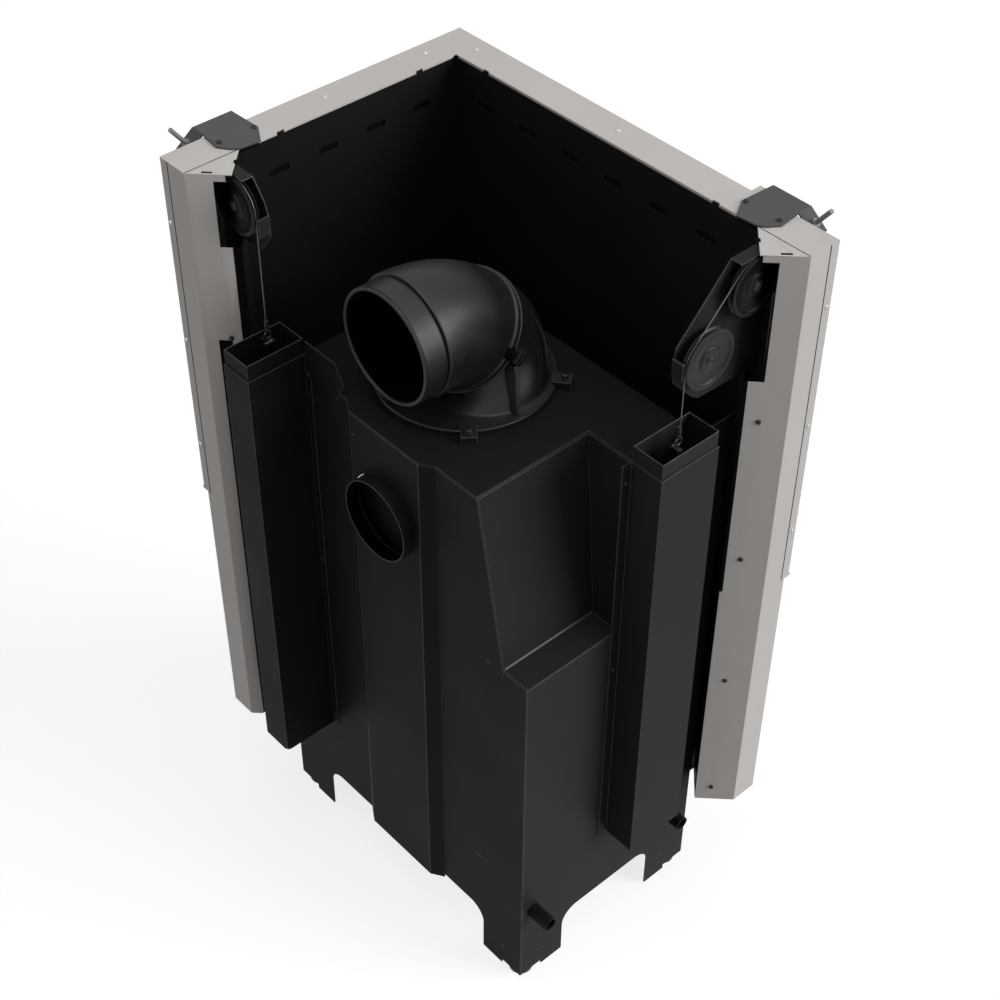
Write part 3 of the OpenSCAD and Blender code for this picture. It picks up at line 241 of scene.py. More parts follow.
# The material of each CAD node
DRESS = {
    GALVANISED: "front_cover side_cover right_column left_column column_caps lower_sill",
    BLACK_SHEET: """rear_wall front_hood side_hood top_plate rear_duct air_inlet_collar left_channel
        left_liner foot_plates base_plate carry_tubes opening_frame door_frame right_weight
        left_weight""",
    LIT_SIDE_SHEET: """left_wall recess_panel front_plinth side_plinth right_channel right_liner
        right_pulley_bracket left_pulley_bracket""",
    DARK_PANEL: "front_inner_panel side_inner_panel guide_rails door_carriages",
    ANCHOR_BLACK: "right_anchor left_anchor",
    CAST: "flue_foot flue_elbow flue_clamps log_retainer",
    ZINC: "cover_screws air_slider",
    BOLT: "anchor_bolts",
    STEEL: "right_shackle left_shackle levelling_feet door_handle pulley_axles",
    BLACK_SCREW: "black_screws clamp_bolts",
    PULLEY: "right_lower_pulley",
    SHADED_PULLEY: "right_upper_pulley left_pulley",
    FIRECLAY: "lining_floor lining_back lining_left baffle",
    ROPE: "door_seal",
    CABLE: "right_cable left_cable",
    GLASS: "door_glass",
}

# Widths of the softened edges, in millimetres, and the nodes whose black edges carry a painted
# highlight in a light grey bevel. The covers have none, as it leaves streaks on their long faces.
SOFTENED = {
    0.4: """rear_wall left_wall rear_duct right_channel left_channel recess_panel front_plinth
        side_plinth top_plate""",
    0.5: """right_liner left_liner right_pulley_bracket left_pulley_bracket column_caps flue_clamps
        air_inlet_collar""",
    0.8: """right_anchor left_anchor front_inner_panel side_inner_panel door_frame door_handle
        right_column left_column""",
    2.0: "lining_back lining_left lining_floor baffle",
}
HIGHLIGHT_EDGED = """rear_wall left_wall rear_duct right_channel left_channel right_liner left_liner top_plate
    recess_panel right_pulley_bracket left_pulley_bracket front_plinth side_plinth flue_clamps
    air_inlet_collar""".split()

# Vertices closer than this, in metres, are one
SAME_PLACE = 1e-6
# Angles in degrees: above them an edge is softened, or stays sharp in a smooth mesh
BEVEL_ANGLE, SMOOTH_ANGLE = 32, 35


def dress(obj, mat):
    obj.data.materials.clear()
    obj.data.materials.append(mat)


def soften(obj, width, edge=None):
    """A bevel on the sharp edges, inside the solid, in a paint of its own if one is given, such as a
    painted highlight.
    """
    weld = obj.modifiers.new("joined", "WELD")
    weld.merge_threshold = SAME_PLACE
    bevel = obj.modifiers.new("edges", "BEVEL")
    bevel.width, bevel.segments = width / 1000, 2
    bevel.limit_method, bevel.angle_limit = "ANGLE", math.radians(BEVEL_ANGLE)
    bevel.harden_normals = True
    if edge:
        obj.data.materials.append(edge)
        bevel.material = 1


for mat, names in DRESS.items():
    for name in names.split():
        dress(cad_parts[name], mat)
for width, names in SOFTENED.items():
    for name in names.split():
        soften(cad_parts[name], width, EDGE_HIGHLIGHT if name in HIGHLIGHT_EDGED else None)


# Mesh building
def piece(name, verts, faces, mat, body, stands_for=()):
    """A mesh piece from points in metres, riding on a body if one is named, its normals outward."""
    mesh = bpy.data.meshes.new(name)
    mesh.from_pydata([tuple(v) for v in verts], [], faces)
    bm = bmesh.new()
    bm.from_mesh(mesh)
    bmesh.ops.remove_doubles(bm, verts=bm.verts, dist=SAME_PLACE)
    bmesh.ops.recalc_face_normals(bm, faces=bm.faces)
    bm.to_mesh(mesh)
    bm.free()
    obj = bpy.data.objects.new(name, mesh)
    bpy.context.scene.collection.objects.link(obj)
    smooth_by_angle(mesh)
    dress(obj, mat)
    if body:
        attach(obj, body)
    if stands_for:
        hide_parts(*stands_for)
    return obj


def smooth_by_angle(mesh):
    """Smooth faces, with the edges between steep ones marked sharp."""
    bm = bmesh.new()
    bm.from_mesh(mesh)
    for face in bm.faces:
        face.smooth = True
    for edge in bm.edges:
        if len(edge.link_faces) == 2 and edge.calc_face_angle(0) > math.radians(SMOOTH_ANGLE):
            edge.smooth = False
    bm.to_mesh(mesh)
    bm.free()


class Shape:
    """Points and faces gathered for one piece."""

    # How deep a rope's lobes are cut, as a share of its radius
    LOBE_DEPTH = 0.12

    def __init__(self):
        self.verts, self.faces = [], []

    def grid(self, rows, wrap_rows=False, caps=False):
        """Closed rings joined row by row; wrap_rows joins the last to the first."""
        start, n = len(self.verts), len(rows[0])
        for row in rows:
            self.verts.extend(row)
        count = len(rows)
        for i in range(count if wrap_rows else count - 1):
            a, b = start + i * n, start + (i + 1) % count * n
            for k in range(n):
                m = (k + 1) % n
                self.faces.append((a + k, b + k, b + m, a + m))
        if caps:
            self.faces.append(tuple(range(start, start + n)))
            self.faces.append(tuple(range(start + (count - 1) * n, start + count * n)))
        return self

    def lathe(self, profile, origin, axis, steps=32, closed=False):
        """A profile of (radius, height) in millimetres turned about an axis."""
        axis = Vector(axis).normalized()
        a = axis.orthogonal().normalized()
        b = axis.cross(a)
        ways = [a * math.cos(TAU * k / steps) + b * math.sin(TAU * k / steps) for k in range(steps)]
        rows = [[origin + way * r / 1000 + axis * h / 1000 for way in ways] for r, h in profile]
        return self.grid(rows, wrap_rows=closed, caps=not closed)

    def prism(self, outline, thick):
        """A flat outline of points, thickened by a vector."""
        return self.grid([outline, [p + thick for p in outline]], caps=True)

    def box(self, a, b):
        """A block between two corners."""
        lo = Vector([min(p, q) for p, q in zip(a, b)])
        hi = Vector([max(p, q) for p, q in zip(a, b)])
        plan = [(lo.x, lo.y), (hi.x, lo.y), (hi.x, hi.y), (lo.x, hi.y)]
        return self.prism([Vector((x, y, lo.z)) for x, y in plan], Vector((0, 0, hi.z - lo.z)))

    def tube(self, path, radius, sides=10, lobes=0, pitch=1.0):
        """A rope or tube along points in metres.

        With lobes, each has moved on to its neighbour's place after a pitch.
        """
        rows, run = [], 0
        normal = None
        for i, p in enumerate(path):
            ahead = (path[min(i + 1, len(path) - 1)] - path[max(i - 1, 0)]).normalized()
            if normal is None:
                normal = ahead.orthogonal().normalized()
            normal = (normal - ahead * normal.dot(ahead)).normalized()
            other = ahead.cross(normal)
            if i:
                run += (p - path[i - 1]).length
            row = []
            for k in range(sides):
                t = TAU * k / sides
                r = radius
                if lobes:
                    cut = 0.5 - 0.5 * math.cos(lobes * (t - TAU * run / pitch / lobes))
                    r = radius * (1 - self.LOBE_DEPTH * cut)
                row.append(p + (normal * math.cos(t) + other * math.sin(t)) * r)
            rows.append(row)
        return self.grid(rows, caps=True)

    def made(self, name, mat, body, stands_for=(), soft=0):
        """The piece, with its edges softened if a width in millimetres is given."""
        obj = piece(name, self.verts, self.faces, mat, body, stands_for)
        if soft:
            soften(obj, soft)
        return obj


# Flue: foot casting with its dome, ribs, elbow casting and the lugs at the joint
STEPS = 96
JOINT = at(FLUE_X, FLUE_Y, JOINT_Z)
TILT = Vector((0, math.sqrt(0.5), math.sqrt(0.5)))
DOWN = Vector((0, math.sqrt(0.5), -math.sqrt(0.5)))
ACROSS = Vector((1, 0, 0))

# The dome's foot: the radius of its two round ends, half the length of the flats between them, how
# far it is set forward of the flue's axis, and its height
DOME_R, DOME_FLAT, DOME_FORWARD, DOME_Z = 105, 27, 15, 1158
# The dome's rim: its radius and how far it lies under the joint
RIM_R, RIM_DROP = 99.5, 9
# The shell's inner radius at the joint and in the bend, and that of the narrower ends
INNER_R, WAY_R = 95.5, 93
# The thickness of the dome at its foot and of the plate under it
DOME_T, PLATE_T = 8, 9
DOME_ROWS, STRIP_ROWS = 20, 16


def ring_angles():
    return [TAU * k / STEPS for k in range(STEPS)]


def level_ring(r, z):
    return [at(FLUE_X + r * math.cos(a), FLUE_Y + r * math.sin(a), z) for a in ring_angles()]


def joint_ring(r, h):
    """A ring round the joint's slanting axis, h millimetres along it."""
    return [JOINT + (ACROSS * math.cos(a) + DOWN * math.sin(a)) * r / 1000 + TILT * h / 1000
            for a in ring_angles()]


def between(a, b, share):
    """Points of two rings mixed."""
    return [p.lerp(q, share) for p, q in zip(a, b)]


def dome_base(angle, grow=0.0):
    """A point of the dome's foot, grown outward by some millimetres if asked."""
    across = (DOME_R + grow) * math.cos(angle) + DOME_FLAT * math.tanh(3 * math.cos(angle))
    return at(FLUE_X + across, FLUE_Y - DOME_FORWARD + (DOME_R + grow) * math.sin(angle), DOME_Z)


def dome_point(angle, share):
    """A point of the dome between its foot and the joint; it bulges in front, straight behind."""
    foot = dome_base(angle)
    out = ACROSS * math.cos(angle) + DOWN * math.sin(angle)
    rim = JOINT + out * (RIM_R / 1000) - TILT * (RIM_DROP / 1000)
    reach = (rim - foot).length
    bulge = (0.5 - 0.5 * math.sin(angle)) ** 1.5
    low = foot.lerp(rim, 0.33).lerp(foot + Vector((0, 0, 0.6 * reach)), bulge)
    high = foot.lerp(rim, 0.67).lerp(rim - TILT * 0.55 * reach, bulge)
    rest = 1 - share
    return (foot * rest**3 + low * (3 * rest**2 * share) + high * (3 * rest * share**2)
            + rim * share**3)


def flue_foot():
    """A round plate, the dome on it, a bead round the joint, and the way through."""
    def base(grow):
        return [dome_base(a, grow) for a in ring_angles()]

    # Pairs of radius and height, the plate's above its seat and the bead's along the joint's axis
    plate = ((150, 0), (151.5, 1.5), (151.5, 7.5), (150, PLATE_T))
    bead = ((100.6, -7.2), (103.4, -6.4), (104.4, -5.6), (104.4, -4.4), (103.2, -3.5), (99.6, -3.2),
            (99.4, -0.6), (INNER_R, -0.6))
    # Pairs of how far the dome's foot spreads, in millimetres, and how deep, in metres
    fillet = ((4, 0.002), (1.5, 0.001))
    rows = [level_ring(r, FOOT_Z + h) for r, h in plate]
    rows += [[p + Vector((0, 0, -drop)) for p in base(grow)] for grow, drop in fillet]
    rows += [[dome_point(a, i / DOME_ROWS) for a in ring_angles()] for i in range(DOME_ROWS + 1)]
    rows += [joint_ring(r, h) for r, h in bead]
    rows += [between(base(-DOME_T), joint_ring(WAY_R, -RIM_DROP), i / 4) for i in (4, 3, 2, 1)]
    rows += [level_ring(WAY_R, FOOT_Z + PLATE_T), level_ring(WAY_R, FOOT_Z)]
    Shape().grid(rows, wrap_rows=True).made("flue_foot_casting", CAST, "flue_base", ["flue_foot"])


def strip(foot, top, proud, width, low, high):
    """Rows of a raised strip on the dome, from an angle at its foot to another at the joint.

    It stands proud by some millimetres, is width wide 120 mm from the axis, and runs from the share
    low of the dome's height to the share high.
    """
    rows = []
    half = width / (2 * 120)
    for i in range(STRIP_ROWS + 1):
        share = low + (high - low) * i / STRIP_ROWS
        mid = foot + (top - foot) * share
        tall = proud * min(1, 0.3 + 3 * min(i, STRIP_ROWS - i) / STRIP_ROWS)
        row = []
        for turn, out in ((-half, -1), (-0.7 * half, tall), (0.7 * half, tall), (half, -1)):
            here = dome_point(mid + turn, share)
            along = dome_point(mid + turn + 0.01, share) - here
            above = dome_point(mid + turn, share + 0.01) - here
            row.append(here + along.cross(above).normalized() * out / 1000)
        rows.append(row)
    return rows


def flue_ribs():
    """The rib under either lug and the narrow raised strips in front of it."""
    s = Shape()
    # Across the flue's axis, behind it, and the height
    rib = [(118, -6.5, 1232), (124, -4.5, 1222), (141, 8.5, 1158.5), (112, 8.5, 1158.5),
           (90, -6.5, 1232)]
    for mirror in (-1, 1):
        outline = [at(FLUE_X + mirror * x, FLUE_Y + y, z) for x, y, z in rib]
        s.prism(outline, Vector((0, 0.0075, 0)))
    # Angle at the foot and at the joint in degrees, how proud, width, and the shares of the height
    strips = [(-17, -36, 2.6, 3.2, 0.04, 0.8), (-24, -44, 2.2, 2.4, 0.2, 0.8),
              (-42, -56, 2.6, 3.2, 0.06, 0.8)]
    for foot, top, *form in strips:
        for a, b in ((foot, top), (180 - foot, 180 - top)):
            s.grid(strip(math.radians(a), math.radians(b), *form), caps=True)
    s.made("flue_foot_ribs", CAST, "flue_base", soft=0.4)


# The elbow's path: a short straight neck, an eighth of a turn about a level axis and a straight end.
# The shoulder and the mouth are given by their way along it.
NECK, BEND_R = 4, 147
BEND_Y = FLUE_Y + (NECK + BEND_R) * math.sqrt(0.5)
BEND_Z = JOINT_Z + (NECK - BEND_R) * math.sqrt(0.5)
ARC = BEND_R * math.pi / 4
SHOULDER = NECK + ARC + 12
MOUTH = SHOULDER + 45
# The spigot's outer radius, how much wider the bend grows, and the near-black layer inside, painted
# shade
SPIGOT_R, SWELL = 100, 5.2
INNER_SHADE_R, INNER_SHADE_THICK = 92.9, 0.6
SWELL_STEPS, BEND_STEPS = 14, 12


def elbow_ring(s, r):
    """A ring round the elbow's path, s millimetres along it from the joint."""
    if s <= NECK:
        turn, centre = math.pi / 4, JOINT + TILT * s / 1000
    elif s <= NECK + ARC:
        turn = math.pi / 4 - (s - NECK) / BEND_R
        centre = at(FLUE_X, BEND_Y - BEND_R * math.sin(turn), BEND_Z + BEND_R * math.cos(turn))
    else:
        turn, centre = 0, at(FLUE_X, BEND_Y + s - NECK - ARC, BEND_Z + BEND_R)
    over = Vector((0, math.sin(turn), -math.cos(turn)))
    return [centre + (ACROSS * math.cos(a) + over * math.sin(a)) * r / 1000 for a in ring_angles()]


def flue_elbow():
    """The elbow swells towards its shoulder, where a groove parts it from the spigot."""
    # Pairs of the way along the path and the radius, from the joint outside to the mouth and back
    bead = [(0.2, INNER_R), (0.2, 99.5), (4.6, 99.5), (4.9, 103), (5.5, 104.2), (6.7, 104.2),
            (7.4, 103), (8.2, 100.4)]
    swell = [(NECK + ARC * i / SWELL_STEPS, SPIGOT_R + SWELL * (i / SWELL_STEPS) ** 2.5)
             for i in range(1, SWELL_STEPS + 1)]
    shoulder = [(-5, 105.4), (-1.6, 105.5), (-0.4, 104.9), (0, 103.6), (0, 99.2), (1, 99.2),
                (1.2, SPIGOT_R)]
    mouth = [(-4.6, SPIGOT_R), (-4.4, 99), (-3.4, 99), (-3.2, SPIGOT_R), (-1, 99.4), (0, 97.6),
             (0, 95.2), (-0.8, 93.8), (-2.6, WAY_R)]
    step = [(-6, WAY_R), (-8, INNER_R)]
    inside = [(NECK + ARC * i / BEND_STEPS, INNER_R) for i in range(BEND_STEPS, 0, -1)]
    path = (bead + swell + [(SHOULDER + s, r) for s, r in shoulder]
            + [(MOUTH + s, r) for s, r in mouth] + [(SHOULDER + s, r) for s, r in step] + inside)
    rows = [elbow_ring(s, r) for s, r in path]
    casting = Shape().grid(rows, wrap_rows=True)
    casting.made("flue_elbow_casting", CAST, "flue_outlet", ["flue_elbow"])
    steps = [NECK + ARC * i / BEND_STEPS for i in range(BEND_STEPS + 1)] + [SHOULDER, MOUTH - 3.5]
    rows = [elbow_ring(s, INNER_SHADE_R) for s in steps]
    rows += [elbow_ring(s, INNER_SHADE_R - INNER_SHADE_THICK) for s in reversed(steps)]
    Shape().grid(rows, wrap_rows=True).made("flue_elbow_painted_shade", INNER_SHADE, "flue_outlet")


def joint_block(name, outline, low, high, mirror, body):
    """A small block at the joint's side, thick along the joint's axis."""
    base = [JOINT + (ACROSS * mirror * x + DOWN * y + TILT * low) / 1000 for x, y in outline]
    Shape().prism(base, TILT * (high - low) / 1000).made(name, CAST, body, soft=1)


def joint_lug(mirror, where):
    """The lug: a slotted block on the foot and a round knob on the elbow that clamps it."""
    # Outlines across the joint and down its slope
    block = [(97, -22), (119, -22), (119, 2), (97, 2)]
    web = [(97, -22), (113, -22), (113, 2), (97, 2)]
    for part, (a, b) in {"front": (-17, -9.5), "back": (-7.5, 0)}.items():
        joint_block(f"joint_block_{part}_{where}", block, a, b, mirror, "flue_base")
    joint_block("joint_web_" + where, web, -10, -7, mirror, "flue_base")
    centre = JOINT + (ACROSS * mirror * 104 - DOWN * 8 + TILT * 1.2) / 1000
    profile = [(0.1, 0), (9.2, 0), (9.8, 0.8), (9.8, 7), (9, 8.2), (7.4, 9), (5, 9), (4.4, 7.8),
               (0.1, 7.8)]
    knob = Shape().lathe(profile, centre, TILT, 32)
    knob.made("joint_knob_" + where, SEAM_AND_SHADE, "flue_outlet")


flue_foot()
flue_ribs()
flue_elbow()
for sign, where in ((-1, "left"), (1, "right")):
    joint_lug(sign, where)


# Bolts of the clamps, each with a washer: the clamps' angles round the flue, the bolts' way from its
# axis and the height of the clamps' tops
CLAMP_ANGLES, CLAMP_R, CLAMP_TOP = (-39, 39, 141, 219), 163, 1161.3


def clamp_bolts():
    s = Shape()
    washer = [(0.1, 0), (8, 0), (8, 1.3), (0.1, 1.3)]
    head = [(0.1, 1.3), (5.6, 1.3), (5.6, 6.8), (5, 8.2), (3.6, 9), (2.7, 9), (2.4, 5.6),
            (0.1, 5.6)]
    for turn in CLAMP_ANGLES:
        a = math.radians(turn)
        spot = at(FLUE_X - CLAMP_R * math.cos(a), FLUE_Y + CLAMP_R * math.sin(a), CLAMP_TOP)
        for profile in (washer, head):
            s.lathe(profile, spot, UP, 24)
    s.made("clamp_bolt_heads", BLACK_SCREW, "flue_base", ["clamp_bolts"])


# Screws on the top strips and on the anchors, as (along the wing, behind its face); those of the
# anchors count from the wing's end
STRIP_SCREWS = {front: [(76, 29), (415, 31)], side: [(101, 28), (314, 29)]}
ANCHOR_SCREWS, ANCHOR_THICK = ((-157, 32), (-90, 32)), 3
# Screws down the end flanges, the columns and the channels, as shares of the height from the top
FLANGE_V, FLANGE_SHARES = 8, (0.17, 0.508, 0.839)
COLUMN_SHARES = {front: (0.252, 0.492, 0.733, 0.972), side: (0.252,)}
CHANNEL_SHARES = (0.042, 0.507, 0.969)
# How far in and back the column screws sit on the slanting face
SLANT = 32
# Radius and height of the larger heads
ANCHOR_HEAD, COLUMN_HEAD = (4.8, 2.6), (4.6, 2.6)
# The channels' screw flanges on the left wall and on the rear wall
RIGHT_FLANGE_Y, LEFT_FLANGE_X, FLANGE_THICK = 327, -224.5, 2


def pan_screw(s, spot, axis, r=4.0, t=2.2):
    """A domed head with a socket, r its radius and t its height."""
    profile = [(r * 0.98, 0), (r, t * 0.35), (r * 0.9, t * 0.75), (r * 0.62, t), (r * 0.42, t),
               (r * 0.36, t * 0.45), (0.1, t * 0.4)]
    s.lathe(profile, spot, axis, 20)


def wing_screws():
    bright, dark = Shape(), Shape()
    for wing, length in ((front, FRONT_LEN), (side, SIDE_LEN)):
        for u, v in STRIP_SCREWS[wing]:
            pan_screw(bright, wing(u, v, TOP), UP)
        for share in FLANGE_SHARES:
            spot = wing(length, FLANGE_V, TOP - share * (TOP - COVER_LOW))
            pan_screw(bright, spot, heading(wing, 1, 0))
        for u, v in ANCHOR_SCREWS:
            pan_screw(dark, wing(length + u, v, TOP + ANCHOR_THICK), UP, *ANCHOR_HEAD)
    bright.made("cover_screw_heads", ZINC, "frame", ["cover_screws"])
    dark.made("anchor_screw_heads", BLACK_SCREW, "frame")


def black_screws():
    s = Shape()
    for wing, length in ((front, FRONT_LEN), (side, SIDE_LEN)):
        for share in COLUMN_SHARES[wing]:
            spot = wing(length - SLANT, WING_D + SLANT, TOP - share * (TOP - LOW))
            pan_screw(s, spot, heading(wing, 1, 1), *COLUMN_HEAD)
    for share in CHANNEL_SHARES:
        z = CHANNEL_TOP - share * (CHANNEL_TOP - CHANNEL_LOW)
        pan_screw(s, at(-BODY_L - FLANGE_THICK, RIGHT_FLANGE_Y, z), LEFT)
        pan_screw(s, at(LEFT_FLANGE_X, BODY_B + FLANGE_THICK, z), BACK)
    s.made("black_screw_heads", BLACK_SCREW, "frame", ["black_screws"])


clamp_bolts()
wing_screws()
black_screws()


# Cables: the parts over the pulleys ride with the frame, and the runs to the door and to the weights
# are straight pieces of their own. In metres: their radius, and the length after which each strand
# has moved on to its neighbour's place.
CABLE_R, LAY = 0.0011, 0.012
CABLE_SIDES, STRANDS = 12, 6


def arc(hub, start, end):
    """Places (behind the face, height) of the cable round a hub, from one angle to another."""
    n = max(2, int(abs(start - end) / 4))
    angles = [math.radians(start + (end - start) * i / n) for i in range(n + 1)]
    return [(HUB_V + hub[0] + PITCH_R * math.cos(a), HUB_Z + hub[1] + PITCH_R * math.sin(a))
            for a in angles]


def filled(points, step=0.004):
    """The same line with points every few millimetres."""
    out = [points[0]]
    for p, q in zip(points, points[1:]):
        n = max(1, round((q - p).length / step))
        out += [p.lerp(q, i / n) for i in range(1, n + 1)]
    return out


def rope(name, points, body=None):
    return Shape().tube(filled(points), CABLE_R, CABLE_SIDES, STRANDS, LAY).made(name, CABLE, body)


def hanging(name, top, end):
    """A cable's straight run from the casing down to its lower end."""
    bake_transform(rope(name, [top, end]))


def cables():
    tangent = math.degrees(math.atan2(LOWER_HUB[0], -LOWER_HUB[1]))
    route = arc((0, 0), 180, tangent) + arc(LOWER_HUB, tangent, 0)
    over = rope("right_cable_over_pulleys", [front(FRONT_DISC, v, z) for v, z in route], "frame")
    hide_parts("right_cable")
    route = arc((0, 0), 180, 0)
    over = rope("left_cable_over_pulley", [side(SIDE_DISC, v, z) for v, z in route], "frame")
    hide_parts("left_cable")
    runs = ((front, FRONT_DISC, "right", HUB_V + LOWER_HUB[0] + PITCH_R, HUB_Z + LOWER_HUB[1]),
            (side, SIDE_DISC, "left", HUB_V + PITCH_R, HUB_Z))
    for wing, disc, where, weight_v, weight_z in runs:
        door_v = HUB_V - PITCH_R
        hanging(where + "_cable_to_door", wing(disc, door_v, HUB_Z), wing(disc, door_v, DOOR_END_Z))
        hanging(where + "_cable_to_weight", wing(disc, weight_v, weight_z),
                wing(disc, weight_v, WEIGHT_END_Z))


cables()


# Pulleys with a rounded rim, a dished web and a hub boss: half of the profile, from bore to groove
PULLEY_HALF = [(5.05, 6), (9, 6), (9.6, 5.5), (10.4, 5.5), (11, 6), (20.8, 6), (21.8, 5.4),
               (22.6, 4.2), (42.6, 4), (43.8, 4.8), (44.6, 5.8), (45.4, 6), (50.4, 6), (51.5, 5.5),
               (51.8, 4.8), (51.2, 4), (47.6, 1.4), (46.9, 1)]
# An axle's pin with its turned end, its nut behind the bracket, and its spacer
AXLE_PIN = [(5, -24), (5, 5.4), (7.2, 5.6), (7.6, 6), (7.6, 6.8), (7, 7.2), (4.6, 7.2), (4.2, 8.4),
            (3.4, 9), (1.8, 9), (1.6, 7.6), (0.1, 7.6)]
AXLE_NUT = [(0.1, -24), (9, -24), (9, -20.1), (0.1, -20.1)]
AXLE_SPACER = [(5.2, -18), (9, -18), (9, -5.8), (5.2, -5.8)]

RIGHT_LOWER = front(FRONT_DISC, HUB_V + LOWER_HUB[0], HUB_Z + LOWER_HUB[1])
HUBS = {
    "right_upper": (front(FRONT_DISC, HUB_V, HUB_Z), LEFT, "right_upper_pulley",
                    "right_upper_wheel", SHADED_PULLEY),
    "right_lower": (RIGHT_LOWER, LEFT, "right_lower_pulley", "right_lower_wheel", PULLEY),
    "left": (side(SIDE_DISC, HUB_V, HUB_Z), BACK, "left_pulley", "left_wheel", SHADED_PULLEY),
}


def pulleys():
    profile = PULLEY_HALF + [(r, -h) for r, h in reversed(PULLEY_HALF)]
    ends = Shape()
    for name, (centre, axis, node, body, mat) in HUBS.items():
        wheel = Shape().lathe(profile, centre, axis, 72, closed=True)
        wheel.made(name + "_pulley_wheel", mat, body, [node])
        ends.lathe(AXLE_PIN, centre, axis, 40)
        ends.lathe(AXLE_NUT, centre, axis, 6)
        ends.lathe(AXLE_SPACER, centre, axis, 32, closed=True)
    ends.made("pulley_axle_set", BLACK_SCREW, "frame", ["pulley_axles"])


pulleys()


# Shackles: a crimped sleeve on the cable's end, a ring, and the rod that hooks into the weight. They
# hang at these places behind the wing's face.
SHACKLE_V = {"right": 250, "left": 162}
SLEEVE = [(0.1, 0), (3, 0.6), (3.6, 2), (3.6, 6), (3, 7.5), (3, 9), (3.6, 10.5), (3.6, 15), (3, 17),
          (3, 18.5), (3.6, 20), (3.4, 22.5), (0.1, 23)]
SHACKLE_PIN = [(0.1, -8), (4.6, -8), (4.6, 8), (0.1, 8)]
ROD = [(12, 1199), (2, 1190), (-6, 1180), (-15, 1168)]
SLEEVE_Z, RING_Z, RING_R, PIN_Z = 1206, 1199.5, 6.5, 1184
RING_WIRE, ROD_WIRE = 0.0018, 0.0022


def shackles():
    """The right ring lies across the wing and the left one along it."""
    for wing, disc, where in ((front, FRONT_DISC, "right"), (side, SIDE_DISC, "left")):
        v = SHACKLE_V[where]

        def spot(along, z):
            return wing(disc, v + along, z) if where == "right" else wing(disc + along, v, z)

        s = Shape()
        s.lathe(SLEEVE, wing(disc, v, SLEEVE_Z), UP, 24)
        ring = [TAU * k / 24 for k in range(25)]
        s.tube([spot(RING_R * math.cos(a), RING_Z + RING_R * math.sin(a)) for a in ring], RING_WIRE)
        s.tube([spot(along, z) for along, z in ROD], ROD_WIRE)
        s.lathe(SHACKLE_PIN, wing(disc, v, PIN_Z), heading(wing, 1, 0), 24)
        s.made(where + "_shackle_ring", STEEL, where + "_balance", [where + "_shackle"])


shackles()


# Small details of the sheets. From a wing's end inward, the anchor lies over the strip's back edge
# between its two ends, and the end column's cap reaches to its inner corner.
ANCHOR_END, ANCHOR_START, CAP_CORNER = 106, 141, 104
# The columns' cut-outs begin under their caps and end at a height of their own in each wing
CUT_TOP, FRONT_CUT_LOW, SIDE_CUT_LOW = 1469, 1247, 1347
NOTCHES = {front: (139, 656), side: (144, 430)}


def strip_lips():
    """The covers' top strips turn down at the back, with a gap at either notch."""
    s = Shape()
    half_gap, first = 7, 70
    for wing, length in ((front, FRONT_LEN), (side, SIDE_LEN)):
        starts = [first] + [n + half_gap for n in NOTCHES[wing]]
        ends = [n - half_gap for n in NOTCHES[wing]] + [length - ANCHOR_START - 1]
        for a, b in zip(starts, ends):
            s.box(wing(a, WING_D - 0.6, TOP - 4.8), wing(b, WING_D + 0.5, TOP - 0.6))
    s.made("cover_strip_lips", GALVANISED, "frame", soft=0.3)


def slanting_strip(s, points, low, high):
    """An upright strip from low to high over a plan of four points, given in two pairs."""
    a, b, c, d = points
    s.prism([a, b, d, c], Vector((0, 0, (high - low) / 1000)))


def cap_slots(s, wing, length):
    """The two short slots on an end column's cap, as dark patches of painted shade that stand a
    little proud.
    """
    # Way in from the wing's end, way behind its face, half length, direction, half width
    for inward, v, along, way, wide in ((28, 85, 8.5, -1, 2.2), (79, 89.5, 5, 1, 3.2)):
        spot = wing(length - inward, v, TOP - 2)
        run = heading(wing, 1, way) * along / math.sqrt(2)
        over = heading(wing, 1, -way) * wide / math.sqrt(2)
        outline = [spot - run - over, spot + run - over, spot + run + over, spot - run + over]
        s.prism(outline, Vector((0, 0, 0.00212)))


